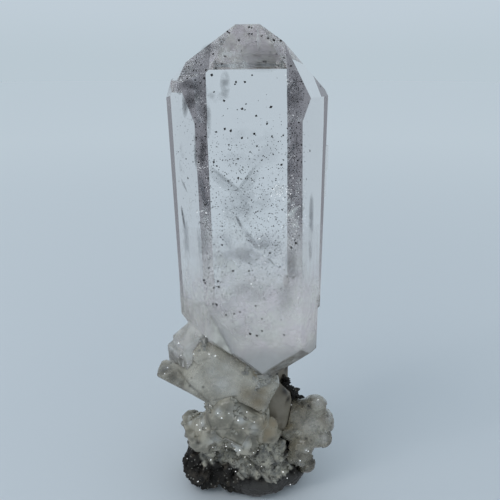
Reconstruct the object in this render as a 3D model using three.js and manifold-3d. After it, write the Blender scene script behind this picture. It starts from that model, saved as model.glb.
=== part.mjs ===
// A smoky quartz scepter on a piece of its matrix, in millimetres, +Z up, resting on its cut base at z = 0.
// X runs from left to right across the broad front face, and Y runs from the front to the back.
// A crystal is a list of flat faces. Each face is [azimuth, elevation, distance]: the direction its
// normal points in, in degrees, and how far it lies from the crystal's centre, in millimetres.
// Azimuth -90 is the front. The rhombohedral faces of quartz stand at an elevation of 38.2 degrees.
import * as THREE from "three";
import { ConvexGeometry } from "three/addons/geometries/ConvexGeometry.js";
import { ImprovedNoise } from "three/addons/math/ImprovedNoise.js";
import { mergeVertices } from "three/addons/utils/BufferGeometryUtils.js";
import Module from "manifold-3d";

// Space left where two pieces meet.
const GAP = 0.3;
// Vertices of one shape closer than this are the same vertex.
const MERGE = 1e-3;
// Slack allowed when a corner is tested against a face, and for faces that are nearly parallel.
const SLACK = 1e-6;
// Azimuth of the front face, and the turn from one prism face to the next.
const FRONT = -90;
const PRISM_TURN = 60;
// Elevation of quartz's rhombohedral faces above its prism faces.
const RHOMB = 38.2;
// Side of the block that cuts the matrix off flat below z = 0.
const FLOOR_BLOCK = 60;
// The finer bumps of a lump: how much closer together they are than its coarse ones, how high
// beside them, and how far along x they are read from.
const FINE_PITCH = 2.3;
const FINE_HEIGHT = 0.5;
const FINE_START = 7;

// The head of the scepter: six prism faces that taper a little, six rhombohedral faces on top,
// and the faces of its underside, which draws in to the stem.
const HEAD_CENTRE = [0, 0, 59.15];
const HEAD_LEAN = 0.7;
const HEAD_SIDES = [
  [-90, -0.5, 8.6],
  [-150, -1, 10.58],
  [-30, 0.5, 10.35],
  [150, -0.7, 9.92],
  [90, 0, 8.6],
];
const HEAD_TOP = [
  [-90, RHOMB, 8.19],
  [-150, RHOMB, 13.1],
  [-30, RHOMB, 11.28],
  [30, RHOMB, 10.83],
  [150, RHOMB, 11.06],
  [90, RHOMB, 10.29],
];
const HEAD_UNDERSIDE = [
  [-60, -36, 27.2],
  [-35, -51, 32.5],
  [-170, -54.7, 29.8],
  [-142.7, -45.5, 28],
  [30, -40, 27.9],
  [90, -42, 27.2],
  [150, -42, 27.4],
];
// A ledge runs up the head's right back face, this far to the right of the middle. Right of the
// ledge the face draws in towards the foot, in bands of growth: each starts this far to the right,
// just inside the ledge or near the outer edge, and from one height to another it lies this far
// from the axis. Where two bands overlap, the outer one shows.
const HEAD_RIGHT_BACK = [30, 0.3, 9.19];
const HEAD_LEDGE = 6.8;
const BAND_TILT = -2.2;
const HEAD_STEPS = [
  { start: 6.7, bottom: -26.6, top: 40, distance: 8.82 },
  { start: 6.7, bottom: -60, top: -26.2, distance: 8.12 },
  { start: 10.6, bottom: -9.4, top: -2.8, distance: 9.32 },
  { start: 10.6, bottom: -5.4, top: -1.9, distance: 9.62 },
];

// The stem below the head with the rounded growth on its front, and the two small crystals that
// grew beside it on the left in steps.
const STEM = {
  at: [1.8, 0.3, 14],
  faces: prism([4.2, 4, 3.8, 4.1, 4.2, 4.1]).concat(ends(11, 7)),
};
const STEM_LUMP = {
  at: [3.7, -3.4, 14.6],
  size: [2.9, 2.7, 5.2],
  rough: 0.6,
  grain: 0.5,
  detail: 3,
};
const STEP_CRYSTALS = [
  {
    at: [-7.2, -3, 26.4],
    turn: [0, -2, 0],
    faces: prism([4.1, 5, 5, 4.6, 4.3, 4.3]).concat(
      [[-150, 46, 4], [150, 46, 4], [-90, 66, 4.6], [90, 50, 4.4], [0, 80, 4]],
      [[0, -90, 4.6], [-150, -60, 5.6]],
    ),
  },
  {
    at: [-8.2, -2.6, 24.6],
    turn: [0, -3, 0],
    faces: prism([3.6, 5, 5, 4, 4.3, 4.2]).concat(
      [[180, 76, 2.6], [-90, 55, 3.7], [90, 45, 3.9]],
      [[0, -90, 3.4], [-150, -55, 4.9]],
    ),
  },
];

// The milky blade that lies across the foot of the head, its axis pointing up to the left.
const BLADE_TURN = [0, -56, 0];
const BLADE_CRYSTALS = [
  {
    at: [-3.2, -5.9, 20.9],
    turn: BLADE_TURN,
    faces: prism([2.8, 4.5, 4.6, 3, 4.2, 4.1]).concat(
      [[0, 0, 4.5], [-90, 66, 6.6], [-30, 70, 7], [90, 50, 6.6], [180, 62, 7.4]],
      [[0, -90, 6.2], [-60, -50, 6.6]],
    ),
  },
  {
    at: [-6.2, -6.2, 19],
    turn: [0, -58, 0],
    faces: prism([1.5, 1.35, 1.35, 1.5, 1.2, 1.2]).concat(
      [[-90, RHOMB, 6.3], [-30, 50, 6.6], [30, RHOMB, 6.4], [150, RHOMB, 6.1], [210, RHOMB, 6.4]],
      [[0, -90, 6]],
    ),
  },
  {
    at: [-1.8, -6.3, 23.1],
    turn: BLADE_TURN,
    faces: prism([2.15, 2, 2.2, 1.9, 2, 2]).concat(
      [[0, 0, 1.9], [-90, 70, 7.4], [0, 76, 8], [30, 60, 7.4], [150, 50, 6.4], [210, 56, 6.8]],
      [[0, -90, 4]],
    ),
  },
];

// The low crystals at the front left of the foot, and the rounded yellowish one beside the stem.
const SHELF_CRYSTALS = [
  {
    at: [-1.9, -7.3, 16.2],
    turn: [0, -60, 0],
    faces: prism([2.9, 2.9, 3.1, 2.6, 5, 4.9]).concat(
      [[-90, 54, 4], [-30, 44, 3.9], [90, RHOMB, 4.4], [180, 64, 4.6]],
      [[-90, -52, 4.2], [-30, -45, 4.2], [0, -90, 4.8]],
    ),
  },
  {
    at: [-6.9, -6.6, 12.8],
    turn: [10, -84, -6],
    faces: prism([2.7, 2.5, 2.6, 2.8, 2.5, 2.6]).concat(
      [[-90, 50, 3.3], [-30, 48, 3.3], [30, RHOMB, 3.2], [150, 44, 3.3], [210, 48, 3.2]],
      [[0, -90, 5]],
    ),
  },
  {
    at: [-0.6, -6.7, 12.6],
    turn: [10, 176, 0],
    faces: prism([2.6, 2.7, 2.8, 2.6, 3, 3.1]).concat(
      [[-90, 48, 3.6], [-30, 50, 3.3], [30, 50, 3.4], [150, 50, 3.3], [210, 50, 3.2]],
      [[0, -90, 3.2]],
    ),
  },
  {
    at: [-5.2, -7, 11.6],
    turn: [-12, 168, 20],
    faces: prism([2.4, 2.8, 2.8, 2.6, 3.1, 3]).concat(
      [[-90, 60, 2], [-30, 56, 2.3], [30, 50, 2.6], [150, 50, 2.6], [210, 56, 2.2]],
      [[0, -90, 3]],
    ),
  },
];
const SHELF_LUMPS = [
  { at: [2.6, -7, 12.9], size: [1.9, 1.6, 2.4], rough: 0.15, grain: 0.9, detail: 4 },
];

// The milky knobs on the right, and the pale druse that hangs below them.
const KNOB_LUMPS = [
  { at: [7.7, -2.9, 12.2], size: [4.3, 2.9, 3.3], rough: 0.7, grain: 0.42, detail: 4 },
  { at: [10.9, -2.7, 14.5], size: [1.8, 1.9, 1.8], rough: 0.35, grain: 0.8, detail: 4 },
  { at: [11.9, -2.6, 11.6], size: [2, 2.1, 2.1], rough: 0.4, grain: 0.7, detail: 4 },
  { at: [11.5, -3, 8.9], size: [2, 2, 1.7], rough: 0.4, grain: 0.8, detail: 4 },
  { at: [9.2, -3.6, 9.6], size: [2.8, 2.5, 2.4], rough: 0.4, grain: 0.7, detail: 4 },
];
const DRUSE_LUMPS = [
  { at: [8.3, -5.2, 7.6], size: [2.1, 2, 2.3], rough: 0.3, grain: 0.9, detail: 4 },
  { at: [9.2, -4.6, 5.4], size: [1.7, 1.9, 2], rough: 0.3, grain: 0.8, detail: 3 },
];

// The dark matrix: its body, its humps, and the jagged ridge that climbs the stem on the right.
const MATRIX_LUMPS = [
  { at: [-0.4, -0.6, 4.6], size: [10.2, 7.6, 5.6], rough: 1, grain: 0.4, detail: 8 },
  { at: [-7.4, -3.9, 4.2], size: [3.8, 3.7, 4.3], rough: 0.6, grain: 0.45, detail: 4 },
  { at: [1, -5.4, 3.6], size: [5.6, 3, 4.4], rough: 0.5, grain: 0.45, detail: 5 },
  { at: [6, -3.3, 3.6], size: [3.5, 3.5, 3.8], rough: 0.45, grain: 0.5, detail: 4 },
  { at: [2.8, -4.6, 7.6], size: [3.4, 3, 3.6], rough: 0.4, grain: 0.5, detail: 4 },
  { at: [2.4, 3.6, 9.2], size: [5.2, 3.6, 4.6], rough: 0.7, grain: 0.45, detail: 5 },
];
const RIDGE_LUMPS = [
  { at: [6.2, 1.6, 12.2], size: [2.4, 2.4, 3.6], rough: 0.5, grain: 0.6, detail: 3 },
  { at: [8, -1.2, 13.1], size: [1.5, 1.7, 1.9], rough: 0.45, grain: 0.9, detail: 3 },
  { at: [6.8, -1.8, 15.3], size: [1.3, 1.8, 2.1], rough: 0.45, grain: 0.9, detail: 3 },
  { at: [5.4, -1.6, 17.4], size: [1.2, 1.8, 2.5], rough: 0.4, grain: 0.9, detail: 3 },
];

const FINISHES = {
  scepter_crystal: { color: 0xb4bcc2, roughness: 0.05, metalness: 0 },
  blade_crystals: { color: 0x8f8d86, roughness: 0.25, metalness: 0 },
  shelf_crystals: { color: 0xa19e92, roughness: 0.3, metalness: 0 },
  knob_crystals: { color: 0x9b9b97, roughness: 0.35, metalness: 0 },
  matrix_rock: { color: 0x2e2a27, roughness: 0.8, metalness: 0 },
};

const wasm = await Module();
wasm.setup();
const noise = new ImprovedNoise();

// The six prism faces, from the front one round to the right, by their distances from the axis.
function prism(distances) {
  return distances.map((distance, side) => [FRONT + side * PRISM_TURN, 0, distance]);
}

// Flat ends square to the axis.
function ends(above, below) {
  return [
    [0, 90, above],
    [0, -90, below],
  ];
}

function faceNormal(azimuth, elevation) {
  const turn = THREE.MathUtils.degToRad(azimuth);
  const rise = THREE.MathUtils.degToRad(elevation);
  return new THREE.Vector3(
    Math.cos(turn) * Math.cos(rise),
    Math.sin(turn) * Math.cos(rise),
    Math.sin(rise),
  );
}

// Every point where three faces meet and no other face cuts it off.
function cornerPoints(faces) {
  const planes = faces.map(([azimuth, elevation, distance]) => ({
    normal: faceNormal(azimuth, elevation),
    distance,
  }));
  const corners = [];
  for (let i = 0; i < planes.length; i++) {
    for (let j = i + 1; j < planes.length; j++) {
      for (let k = j + 1; k < planes.length; k++) {
        const corner = meetingPoint(planes[i], planes[j], planes[k]);
        if (corner && planes.every((p) => p.normal.dot(corner) <= p.distance + SLACK)) {
          corners.push(corner);
        }
      }
    }
  }
  return corners;
}

// The point shared by three planes, or null where two of them are parallel.
function meetingPoint(a, b, c) {
  const bc = new THREE.Vector3().crossVectors(b.normal, c.normal);
  const ca = new THREE.Vector3().crossVectors(c.normal, a.normal);
  const ab = new THREE.Vector3().crossVectors(a.normal, b.normal);
  const spread = a.normal.dot(bc);
  if (Math.abs(spread) < SLACK) return null;
  return bc
    .multiplyScalar(a.distance)
    .addScaledVector(ca, b.distance)
    .addScaledVector(ab, c.distance)
    .divideScalar(spread);
}

function placement({ at, turn = [0, 0, 0] }) {
  const angles = turn.map((angle) => THREE.MathUtils.degToRad(angle));
  return new THREE.Matrix4()
    .makeRotationFromEuler(new THREE.Euler(...angles))
    .setPosition(...at);
}

// One closed body from a geometry, with its shared vertices merged.
function solidFrom(geometry) {
  geometry.deleteAttribute("normal");
  geometry.deleteAttribute("uv");
  const merged = mergeVertices(geometry, MERGE);
  return new wasm.Manifold(
    new wasm.Mesh({
      numProp: 3,
      vertProperties: new Float32Array(merged.attributes.position.array),
      triVerts: new Uint32Array(merged.index.array),
    }),
  );
}

// A crystal from its faces, each moved out by grow.
function crystal(shape, grow = 0) {
  const faces = shape.faces.map(([azimuth, elevation, distance]) => [
    azimuth,
    elevation,
    distance + grow,
  ]);
  const geometry = new ConvexGeometry(cornerPoints(faces));
  return solidFrom(geometry.applyMatrix4(placement(shape)));
}

// A rounded lump: an icosphere stretched to its size, its skin moved in and out by smooth noise.
function lump({ at, size, rough, grain, detail }, grow = 0) {
  const geometry = new THREE.IcosahedronGeometry(1, detail);
  geometry.deleteAttribute("normal");
  geometry.deleteAttribute("uv");
  const ball = mergeVertices(geometry, MERGE);
  const position = ball.attributes.position;
  const centre = new THREE.Vector3(...at);
  const point = new THREE.Vector3();
  const spot = new THREE.Vector3();
  for (let i = 0; i < position.count; i++) {
    point.fromBufferAttribute(position, i);
    spot.set(...size).multiply(point).add(centre).multiplyScalar(grain);
    const coarse = noise.noise(spot.x, spot.y, spot.z);
    spot.multiplyScalar(FINE_PITCH);
    const fine = noise.noise(spot.x + FINE_START, spot.y, spot.z);
    const out = grow + rough * (coarse + FINE_HEIGHT * fine);
    point.multiply(new THREE.Vector3(...size).addScalar(out)).add(centre);
    position.setXYZ(i, point.x, point.y, point.z);
  }
  return solidFrom(ball);
}

function joined(solids) {
  return solids.reduce((whole, solid) => whole.add(solid));
}

// The head's own faces, with the ones that close off a part of it.
function headPart(closing, grow) {
  const faces = [...HEAD_SIDES, ...HEAD_TOP, ...HEAD_UNDERSIDE, ...closing];
  return crystal({ at: HEAD_CENTRE, turn: [0, -HEAD_LEAN, 0], faces }, grow);
}

// The head left of its ledge, joined to the bands right of it.
function head(grow = 0) {
  const main = headPart([HEAD_RIGHT_BACK, [0, 0, HEAD_LEDGE]], grow);
  const bands = HEAD_STEPS.map(({ start, bottom, top, distance }) =>
    headPart([[30, BAND_TILT, distance], [180, 0, -start], ...ends(top, -bottom)], grow),
  );
  return joined([main, ...bands]);
}

function headAndStem(grow = 0) {
  return joined([head(grow), crystal(STEM, grow), lump(STEM_LUMP, grow)]);
}

function blades(grow = 0) {
  return joined(BLADE_CRYSTALS.map((shape) => crystal(shape, grow)));
}

function shelves(grow = 0) {
  const crystals = SHELF_CRYSTALS.map((shape) => crystal(shape, grow));
  const lumps = SHELF_LUMPS.map((shape) => lump(shape, grow));
  return joined([...crystals, ...lumps]);
}

function steps(grow = 0) {
  return joined(STEP_CRYSTALS.map((shape) => crystal(shape, grow)));
}

// The head rests on the blade, and the blade keeps its form where the small side crystals meet it.
function scepterCrystal() {
  return headAndStem().add(steps().subtract(blades(GAP)));
}

function bladeGroup() {
  return blades().subtract(headAndStem(GAP)).subtract(shelves(GAP));
}

function knobs(grow = 0) {
  return joined([...KNOB_LUMPS, ...DRUSE_LUMPS].map((shape) => lump(shape, grow)));
}

function matrixRock() {
  const rock = joined([...MATRIX_LUMPS, ...RIDGE_LUMPS].map((shape) => lump(shape)));
  const block = new THREE.BoxGeometry(FLOOR_BLOCK, FLOOR_BLOCK, FLOOR_BLOCK);
  return rock.subtract(solidFrom(block.translate(0, 0, -FLOOR_BLOCK / 2)));
}

// The largest of a solid's separate bodies: a cut can leave crumbs.
function largestBody(solid) {
  const bodies = solid.decompose();
  return bodies.reduce((best, body) => (body.volume() > best.volume() ? body : best));
}

function meshFrom(name, solid) {
  const { numProp, vertProperties, triVerts } = largestBody(solid).getMesh();
  const positions = new THREE.InterleavedBuffer(vertProperties, numProp);
  const geometry = new THREE.BufferGeometry();
  geometry.setAttribute("position", new THREE.InterleavedBufferAttribute(positions, 3, 0));
  geometry.setIndex(new THREE.BufferAttribute(triVerts, 1));
  const flat = geometry.toNonIndexed();
  flat.computeVertexNormals();
  const mesh = new THREE.Mesh(flat, new THREE.MeshStandardMaterial(FINISHES[name]));
  mesh.name = name;
  return mesh;
}

// Each group gives way to the ones before it, so that they meet with the gap between them.
const scepterRoom = headAndStem(GAP).add(steps(GAP));
const crystalRoom = joined([scepterRoom, blades(GAP), shelves(GAP)]);
const matrixRoom = crystalRoom.add(knobs(GAP));

const specimen = new THREE.Group();
specimen.name = "smoky_quartz_scepter";
specimen.add(
  meshFrom("scepter_crystal", scepterCrystal()),
  meshFrom("blade_crystals", bladeGroup()),
  meshFrom("shelf_crystals", shelves().subtract(scepterRoom)),
  meshFrom("knob_crystals", knobs().subtract(crystalRoom)),
  meshFrom("matrix_rock", matrixRock().subtract(matrixRoom)),
);

export default specimen;
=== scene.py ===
"""The looks of a smoky quartz scepter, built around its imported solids.

All lengths are in metres unless a name says mm. +Z is up, the broad front face looks along -Y,
and the specimen rests on its cut base at z = 0.
"""

import logging
import math
from dataclasses import dataclass, field
from enum import Enum
from itertools import product

import bmesh
import bpy
import numpy as np
from mathutils import Vector
from mathutils.bvhtree import BVHTree
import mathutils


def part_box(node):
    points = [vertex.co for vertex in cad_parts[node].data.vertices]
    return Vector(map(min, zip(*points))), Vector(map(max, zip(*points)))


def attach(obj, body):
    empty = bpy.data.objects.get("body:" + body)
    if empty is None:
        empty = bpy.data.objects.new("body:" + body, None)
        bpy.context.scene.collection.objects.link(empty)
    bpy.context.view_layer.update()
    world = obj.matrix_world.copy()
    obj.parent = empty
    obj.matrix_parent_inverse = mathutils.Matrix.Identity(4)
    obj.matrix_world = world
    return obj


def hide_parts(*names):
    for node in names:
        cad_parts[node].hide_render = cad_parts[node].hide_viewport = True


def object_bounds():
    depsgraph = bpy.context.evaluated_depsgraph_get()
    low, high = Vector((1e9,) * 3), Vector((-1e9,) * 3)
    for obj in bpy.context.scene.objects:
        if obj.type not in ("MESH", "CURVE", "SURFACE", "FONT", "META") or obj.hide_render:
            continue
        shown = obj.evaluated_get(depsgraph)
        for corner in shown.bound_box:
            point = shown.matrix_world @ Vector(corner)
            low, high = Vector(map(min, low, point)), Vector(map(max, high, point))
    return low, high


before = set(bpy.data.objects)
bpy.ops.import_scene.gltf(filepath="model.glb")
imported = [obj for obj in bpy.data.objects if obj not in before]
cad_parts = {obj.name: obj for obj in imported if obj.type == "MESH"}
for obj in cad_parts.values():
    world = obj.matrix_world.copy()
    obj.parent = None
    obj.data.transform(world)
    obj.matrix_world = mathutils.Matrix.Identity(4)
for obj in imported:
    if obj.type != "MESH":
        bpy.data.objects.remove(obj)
CAD_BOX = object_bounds()

LOG = logging.getLogger("scepter")
MM = 0.001
DOUBLES = 0.002 * MM  # closer points are one
FLAT = math.radians(0.5)  # faces that lean apart by less are one
LEAST_FACING = 0.4  # least cosine that divides a way to a facet's plane
CRYSTAL_SPREAD = 0.35  # spread of the logarithm of small crystals' lengths
CRYSTAL_REACH = 0.65  # farthest that one reaches from its middle, in its lengths
CRYSTAL_RADIUS = 0.28  # its radius, in its lengths
CRYSTAL_SHOULDER = 0.15  # its shoulder's height over its middle, in its lengths
CRYSTAL_WIDTHS = (0.7, 1.3)  # how many times that wide it may be
GRAIN_REACHES = (0.55, 1.3)  # how far a grain's corners may reach, in half its widths
LENS_THICKNESS = 0.02  # thickness of a lens, in its widths

Points = np.ndarray
Socket = bpy.types.NodeSocket
Colour = tuple[float, float, float, float]
Span = tuple[float, float]


class Slot(Enum):
    """The record's finishes."""

    CLEAR = "clear_quartz"
    MILKY = "milky_quartz"
    DRUSY = "drusy_quartz"
    KNOBBY = "knobby_quartz"
    STONE = "matrix_stone"


@dataclass(frozen=True)
class PhotoCamera:
    """The camera that took the photograph, in the photograph's own pixels.

    Attributes:
        width: Width and height of the picture, in pixels.
        focal: Focal length, in pixels.
        pitch: How far the camera looks down, in degrees.
        reach: Distance to the point it looks at, in metres.
        height: Height of that point above the base, in metres.
        sensor: Width of the sensor, in millimetres.
    """

    width: float = 500
    focal: float = 574
    pitch: float = 18
    reach: float = 90 * MM
    height: float = 41 * MM
    sensor: float = 36

    def place(self) -> Points:
        """Returns where the camera stands."""
        dip = math.radians(self.pitch)
        return np.array([0, -self.reach * math.cos(dip), self.height + self.reach * math.sin(dip)])

    def rays(self, pixels: Points) -> Points:
        """Finds the directions in which the camera sees pixels of the photograph.

        Args:
            pixels: Rows of x and y, in pixels.

        Returns:
            Rows of unit vectors: right times x, less up times y, plus ahead, with x and y measured
            from the picture's middle in focal lengths.
        """
        dip = math.radians(self.pitch)
        right = np.array([1, 0, 0])
        up = np.array([0, math.sin(dip), math.cos(dip)])
        ahead = np.array([0, math.cos(dip), -math.sin(dip)])
        across = (np.asarray(pixels, float) - self.width / 2) / self.focal
        rays = across[:, :1] * right - across[:, 1:2] * up + ahead
        return unit(rays)

    def seen(self, pixels: Points, *pieces: bpy.types.Object) -> Points:
        """Finds the nearest points of some pieces that the camera sees at pixels.

        Args:
            pixels: Rows of x and y, in pixels.
            pieces: The pieces.

        Returns:
            One row a pixel: the point and the outward normal there, or not-a-number where the
            camera sees past the pieces.
        """
        graph = bpy.context.evaluated_depsgraph_get()
        trees = [BVHTree.FromObject(piece, graph) for piece in pieces]
        start = Vector(self.place())
        found = np.full((len(pixels), 6), np.nan)
        for row, ray in zip(found, self.rays(pixels)):
            hits = [tree.ray_cast(start, Vector(ray)) for tree in trees]
            hits = [hit for hit in hits if hit[0] is not None]
            if hits:
                nearest = min(hits, key=lambda hit: hit[3])
                row[:] = (*nearest[0], *nearest[1])
        return found

    def marks(self, rows: tuple, piece: bpy.types.Object) -> tuple[Points, Points]:
        """Finds where a piece carries round marks seen in the photograph.

        Args:
            rows: Rows of x, y and radius, in pixels.
            piece: The piece.

        Returns:
            Rows of points, and the radii in metres, for the rows that meet the piece.
        """
        table = np.array(rows, float)
        found = self.seen(table[:, :2], piece)
        met = np.isfinite(found[:, 0])
        return found[met, :3], table[met, 2] * self.pixel()

    def pixel(self) -> float:
        """Returns the width of a pixel at the camera's mean distance, in metres."""
        return self.reach / self.focal

    def build(self) -> None:
        """Makes the camera and makes it the scene's own."""
        data = bpy.data.cameras.new("camera")
        data.sensor_width = self.sensor
        data.lens = self.sensor * self.focal / self.width
        data.clip_start = MM
        camera = bpy.data.objects.new("camera", data)
        camera.location = self.place()
        camera.rotation_euler = (math.radians(90 - self.pitch), 0, 0)
        bpy.context.scene.collection.objects.link(camera)
        bpy.context.scene.camera = camera


class Nodes:
    """A short way to write a node tree: add a node with its settings, and link sockets.

    Attributes:
        tree: The node tree.
    """

    def __init__(self, tree: bpy.types.NodeTree) -> None:
        """Starts on a tree, which is emptied."""
        self.tree = tree
        tree.nodes.clear()

    def add(self, kind: str, inputs: dict | None = None, **settings: object) -> bpy.types.Node:
        """Adds a node.

        Args:
            kind: The node's type, without the words ShaderNode in front.
            inputs: Values or other nodes' outputs for its inputs, by name or number.
            settings: The node's own properties.

        Returns:
            The new node.
        """
        node = self.tree.nodes.new(kind if kind.startswith("Node") else "ShaderNode" + kind)
        for name, value in settings.items():
            setattr(node, name, value)
        for name, value in (inputs or {}).items():
            if isinstance(value, Socket):
                self.tree.links.new(value, node.inputs[name])
            else:
                node.inputs[name].default_value = value
        return node

    def math(self, operation: str, *values: object) -> Socket:
        """Adds a Math node over values, and returns its output."""
        return self.add("Math", dict(enumerate(values)), operation=operation).outputs[0]

    def vector(self, operation: str, *values: object) -> Socket:
        """Adds a Vector Math node over values, and returns its output."""
        node = self.add("VectorMath", dict(enumerate(values)), operation=operation)
        return node.outputs["Value" if operation == "DOT_PRODUCT" else "Vector"]

    def step(self, value: object, low: float, high: float) -> Socket:
        """Returns 0 where value is under low, 1 where it is over high, and a smooth step between."""
        limits = {"Value": value, "From Min": low, "From Max": high}
        node = self.add("MapRange", limits, interpolation_type="SMOOTHSTEP")
        return node.outputs["Result"]

    def blend(self, share: object, low: object, high: object) -> Socket:
        """Returns the colour low where share is 0 and high where it is 1."""
        return self.add("Mix", {0: share, 6: low, 7: high}, data_type="RGBA").outputs[2]

    def place_mm(self) -> Socket:
        """Returns the place on the piece, in millimetres."""
        place = self.add("TexCoord").outputs["Object"]
        return self.add("VectorMath", {0: place, "Scale": 1 / MM}, operation="SCALE").outputs[0]

    def attribute(self, name: str) -> Socket:
        """Returns a number that the mesh holds at its points, by its name."""
        return self.add("Attribute", attribute_name=name).outputs["Fac"]

    def bump(self, height: Socket, distance: float) -> Socket:
        """Returns the normals of a surface with a height, which is as high as distance, in mm."""
        inputs = {"Height": height, "Distance": distance * MM, "Strength": 1.0}
        return self.add("Bump", inputs).outputs[0]

    def surface(self, inputs: dict, volume: Socket | None = None) -> None:
        """Adds the Principled shader and makes it the tree's surface.

        Args:
            inputs: Values or other nodes' outputs for its inputs, by name.
            volume: What fills the body behind the surface, or None.
        """
        ends = {"Surface": self.add("BsdfPrincipled", inputs).outputs[0]}
        if volume is not None:
            ends["Volume"] = volume
        self.add("OutputMaterial", ends)


class Effects:
    """The patterns that several finishes share, each a node group made once.

    All take a place in millimetres.

    Attributes:
        mottle: Gives soft clouds from 0 to 1.
        grit: Gives a 1 in small round spots, at most one to a cell.
        facets: Gives the height of a surface broken into tilted flats.
    """

    def __init__(self) -> None:
        """Makes the groups."""
        self.mottle = self._group("mottle", {"Pitch": 2.0, "Low": 0.4, "High": 0.6}, self._mottle)
        self.grit = self._group("grit", {"Pitch": 0.5, "Radius": 0.2}, self._grit)
        self.facets = self._group("facets", {"Pitch": 0.6}, self._facets)

    def _group(self, name: str, numbers: dict, fill: object) -> bpy.types.NodeTree:
        """Makes a group with a Place and number inputs and one Value output, filled by a method."""
        tree = bpy.data.node_groups.new(name, "ShaderNodeTree")
        tree.interface.new_socket("Place", in_out="INPUT", socket_type="NodeSocketVector")
        for label, default in numbers.items():
            socket = tree.interface.new_socket(label, in_out="INPUT", socket_type="NodeSocketFloat")
            socket.default_value = default
        tree.interface.new_socket("Value", in_out="OUTPUT", socket_type="NodeSocketFloat")
        nodes = Nodes(tree)
        given = nodes.add("NodeGroupInput").outputs
        nodes.add("NodeGroupOutput", {"Value": fill(nodes, given)})
        return tree

    def _cells(self, nodes: Nodes, given: object) -> tuple[Socket, bpy.types.Node]:
        """Returns the place in cells of one pitch, and the cell pattern there."""
        shrink = nodes.math("DIVIDE", 1.0, given["Pitch"])
        inputs = {0: given["Place"], "Scale": shrink}
        spot = nodes.add("VectorMath", inputs, operation="SCALE").outputs[0]
        return spot, nodes.add("TexVoronoi", {"Vector": spot, "Scale": 1.0})

    def _mottle(self, nodes: Nodes, given: object) -> Socket:
        """Fills the group of soft clouds: layered noise, spread between Low and High."""
        shrink = nodes.math("DIVIDE", 1.0, given["Pitch"])
        cloud = nodes.add("TexNoise", {"Vector": given["Place"], "Scale": shrink, "Detail": 5.0})
        limits = {"Value": cloud.outputs["Fac"], "From Min": given["Low"], "From Max": given["High"]}
        return nodes.add("MapRange", limits, interpolation_type="SMOOTHSTEP").outputs["Result"]

    def _grit(self, nodes: Nodes, given: object) -> Socket:
        """Fills the group of spots: 1 within Radius of a cell's middle, for half of the cells."""
        _, cells = self._cells(nodes, given)
        near = nodes.math("LESS_THAN", cells.outputs["Distance"], given["Radius"])
        lot = nodes.add("SeparateXYZ", {0: cells.outputs["Color"]}).outputs[0]
        return nodes.math("MULTIPLY", near, nodes.math("LESS_THAN", lot, 0.5))

    def _facets(self, nodes: Nodes, given: object) -> Socket:
        """Fills the group of flats: the way from a cell's middle, times the cell's own slope."""
        spot, cells = self._cells(nodes, given)
        way = nodes.vector("SUBTRACT", spot, cells.outputs["Position"])
        slope = nodes.vector("SUBTRACT", cells.outputs["Color"], (0.5, 0.5, 0.5))
        return nodes.vector("DOT_PRODUCT", way, slope)

    def use(self, nodes: Nodes, group: bpy.types.NodeTree, place: Socket, **numbers: float) -> Socket:
        """Puts one of the groups into a tree, and returns its value.

        Args:
            nodes: The tree.
            group: The group.
            place: The place in millimetres.
            numbers: The group's other inputs, by their names in small letters.

        Returns:
            The group's output.
        """
        node = nodes.add("Group", node_tree=group)
        nodes.tree.links.new(place, node.inputs["Place"])
        for label, value in numbers.items():
            node.inputs[label.capitalize()].default_value = value
        return node.outputs["Value"]


class Noise:
    """Random fields in space, the same on every run.

    Attributes:
        SIZE: Number of cells along each axis after which a field repeats.
        SPREAD: What stretches the smooth noise to about -1 to 1.
        table: The cell numbers in a random order, twice over.
        slopes: One unit vector a cell.
        spots: One place in the cell, from 0 to 1 on each axis.
        axes: One turned set of three axes a cell.
    """

    SIZE = 256
    SPREAD = 1.6

    def __init__(self, seed: int) -> None:
        """Draws the field's random slopes, spots and turned axes from a seed."""
        rng = np.random.default_rng(seed)
        self.table = np.tile(rng.permutation(self.SIZE), 2)
        self.slopes = unit(rng.normal(size=(self.SIZE, 3)))
        self.spots = rng.random((self.SIZE, 3))
        self.axes = np.linalg.qr(rng.normal(size=(self.SIZE, 3, 3)))[0]

    def _pick(self, cells: Points) -> Points:
        """Gives each cell of space its own number."""
        x, y, z = (cells % self.SIZE).T
        return self.table[self.table[self.table[x] + y] + z]

    def smooth(self, points: Points, pitch: float) -> Points:
        """Works out gradient noise: each corner of a grid of cubes has a slope, and a point blends
        what its cube's eight slopes give there, with the quintic fade.

        Args:
            points: Rows of x, y and z.
            pitch: Side of a cube.

        Returns:
            One number a point, about -1 to 1.
        """
        spots = points / pitch
        cell = np.floor(spots).astype(int)
        part = spots - cell
        fade = part**3 * (part * (part * 6 - 15) + 10)
        total = np.zeros(len(points))
        for corner in np.array(list(product((0, 1), repeat=3))):
            weight = np.prod(np.where(corner, fade, 1 - fade), axis=1)
            slope = self.slopes[self._pick(cell + corner)]
            total += weight * np.sum(slope * (part - corner), axis=1)
        return total * self.SPREAD

    def layers(self, points: Points, pitch: float, count: int) -> Points:
        """Adds up layers of smooth noise, each half as wide and half as high as the one before."""
        return sum(self.smooth(points + 3 * k * pitch, pitch / 2**k) / 2**k for k in range(count))

    def points_coat(self, points: Points, pitch: float) -> Points:
        """Works out the height of a coat of small crystal points.

        Each cube of space holds one turned block round a random spot. The height falls off from
        the nearest block's middle, as the largest of the three ways along the block's axes.

        Args:
            points: Rows of x, y and z.
            pitch: Side of a cube.

        Returns:
            One height a point, from 0 to about the pitch.
        """
        spots = points / pitch
        cell = np.floor(spots).astype(int)
        best = np.full(len(points), np.inf)
        for step in product((-1, 0, 1), repeat=3):
            pick = self._pick(cell + step)
            way = spots - (cell + step + self.spots[pick])
            along = np.abs(np.einsum("nij,nj->ni", self.axes[pick], way))
            best = np.minimum(best, along.max(axis=1))
        return (1 - best) * pitch


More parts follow.
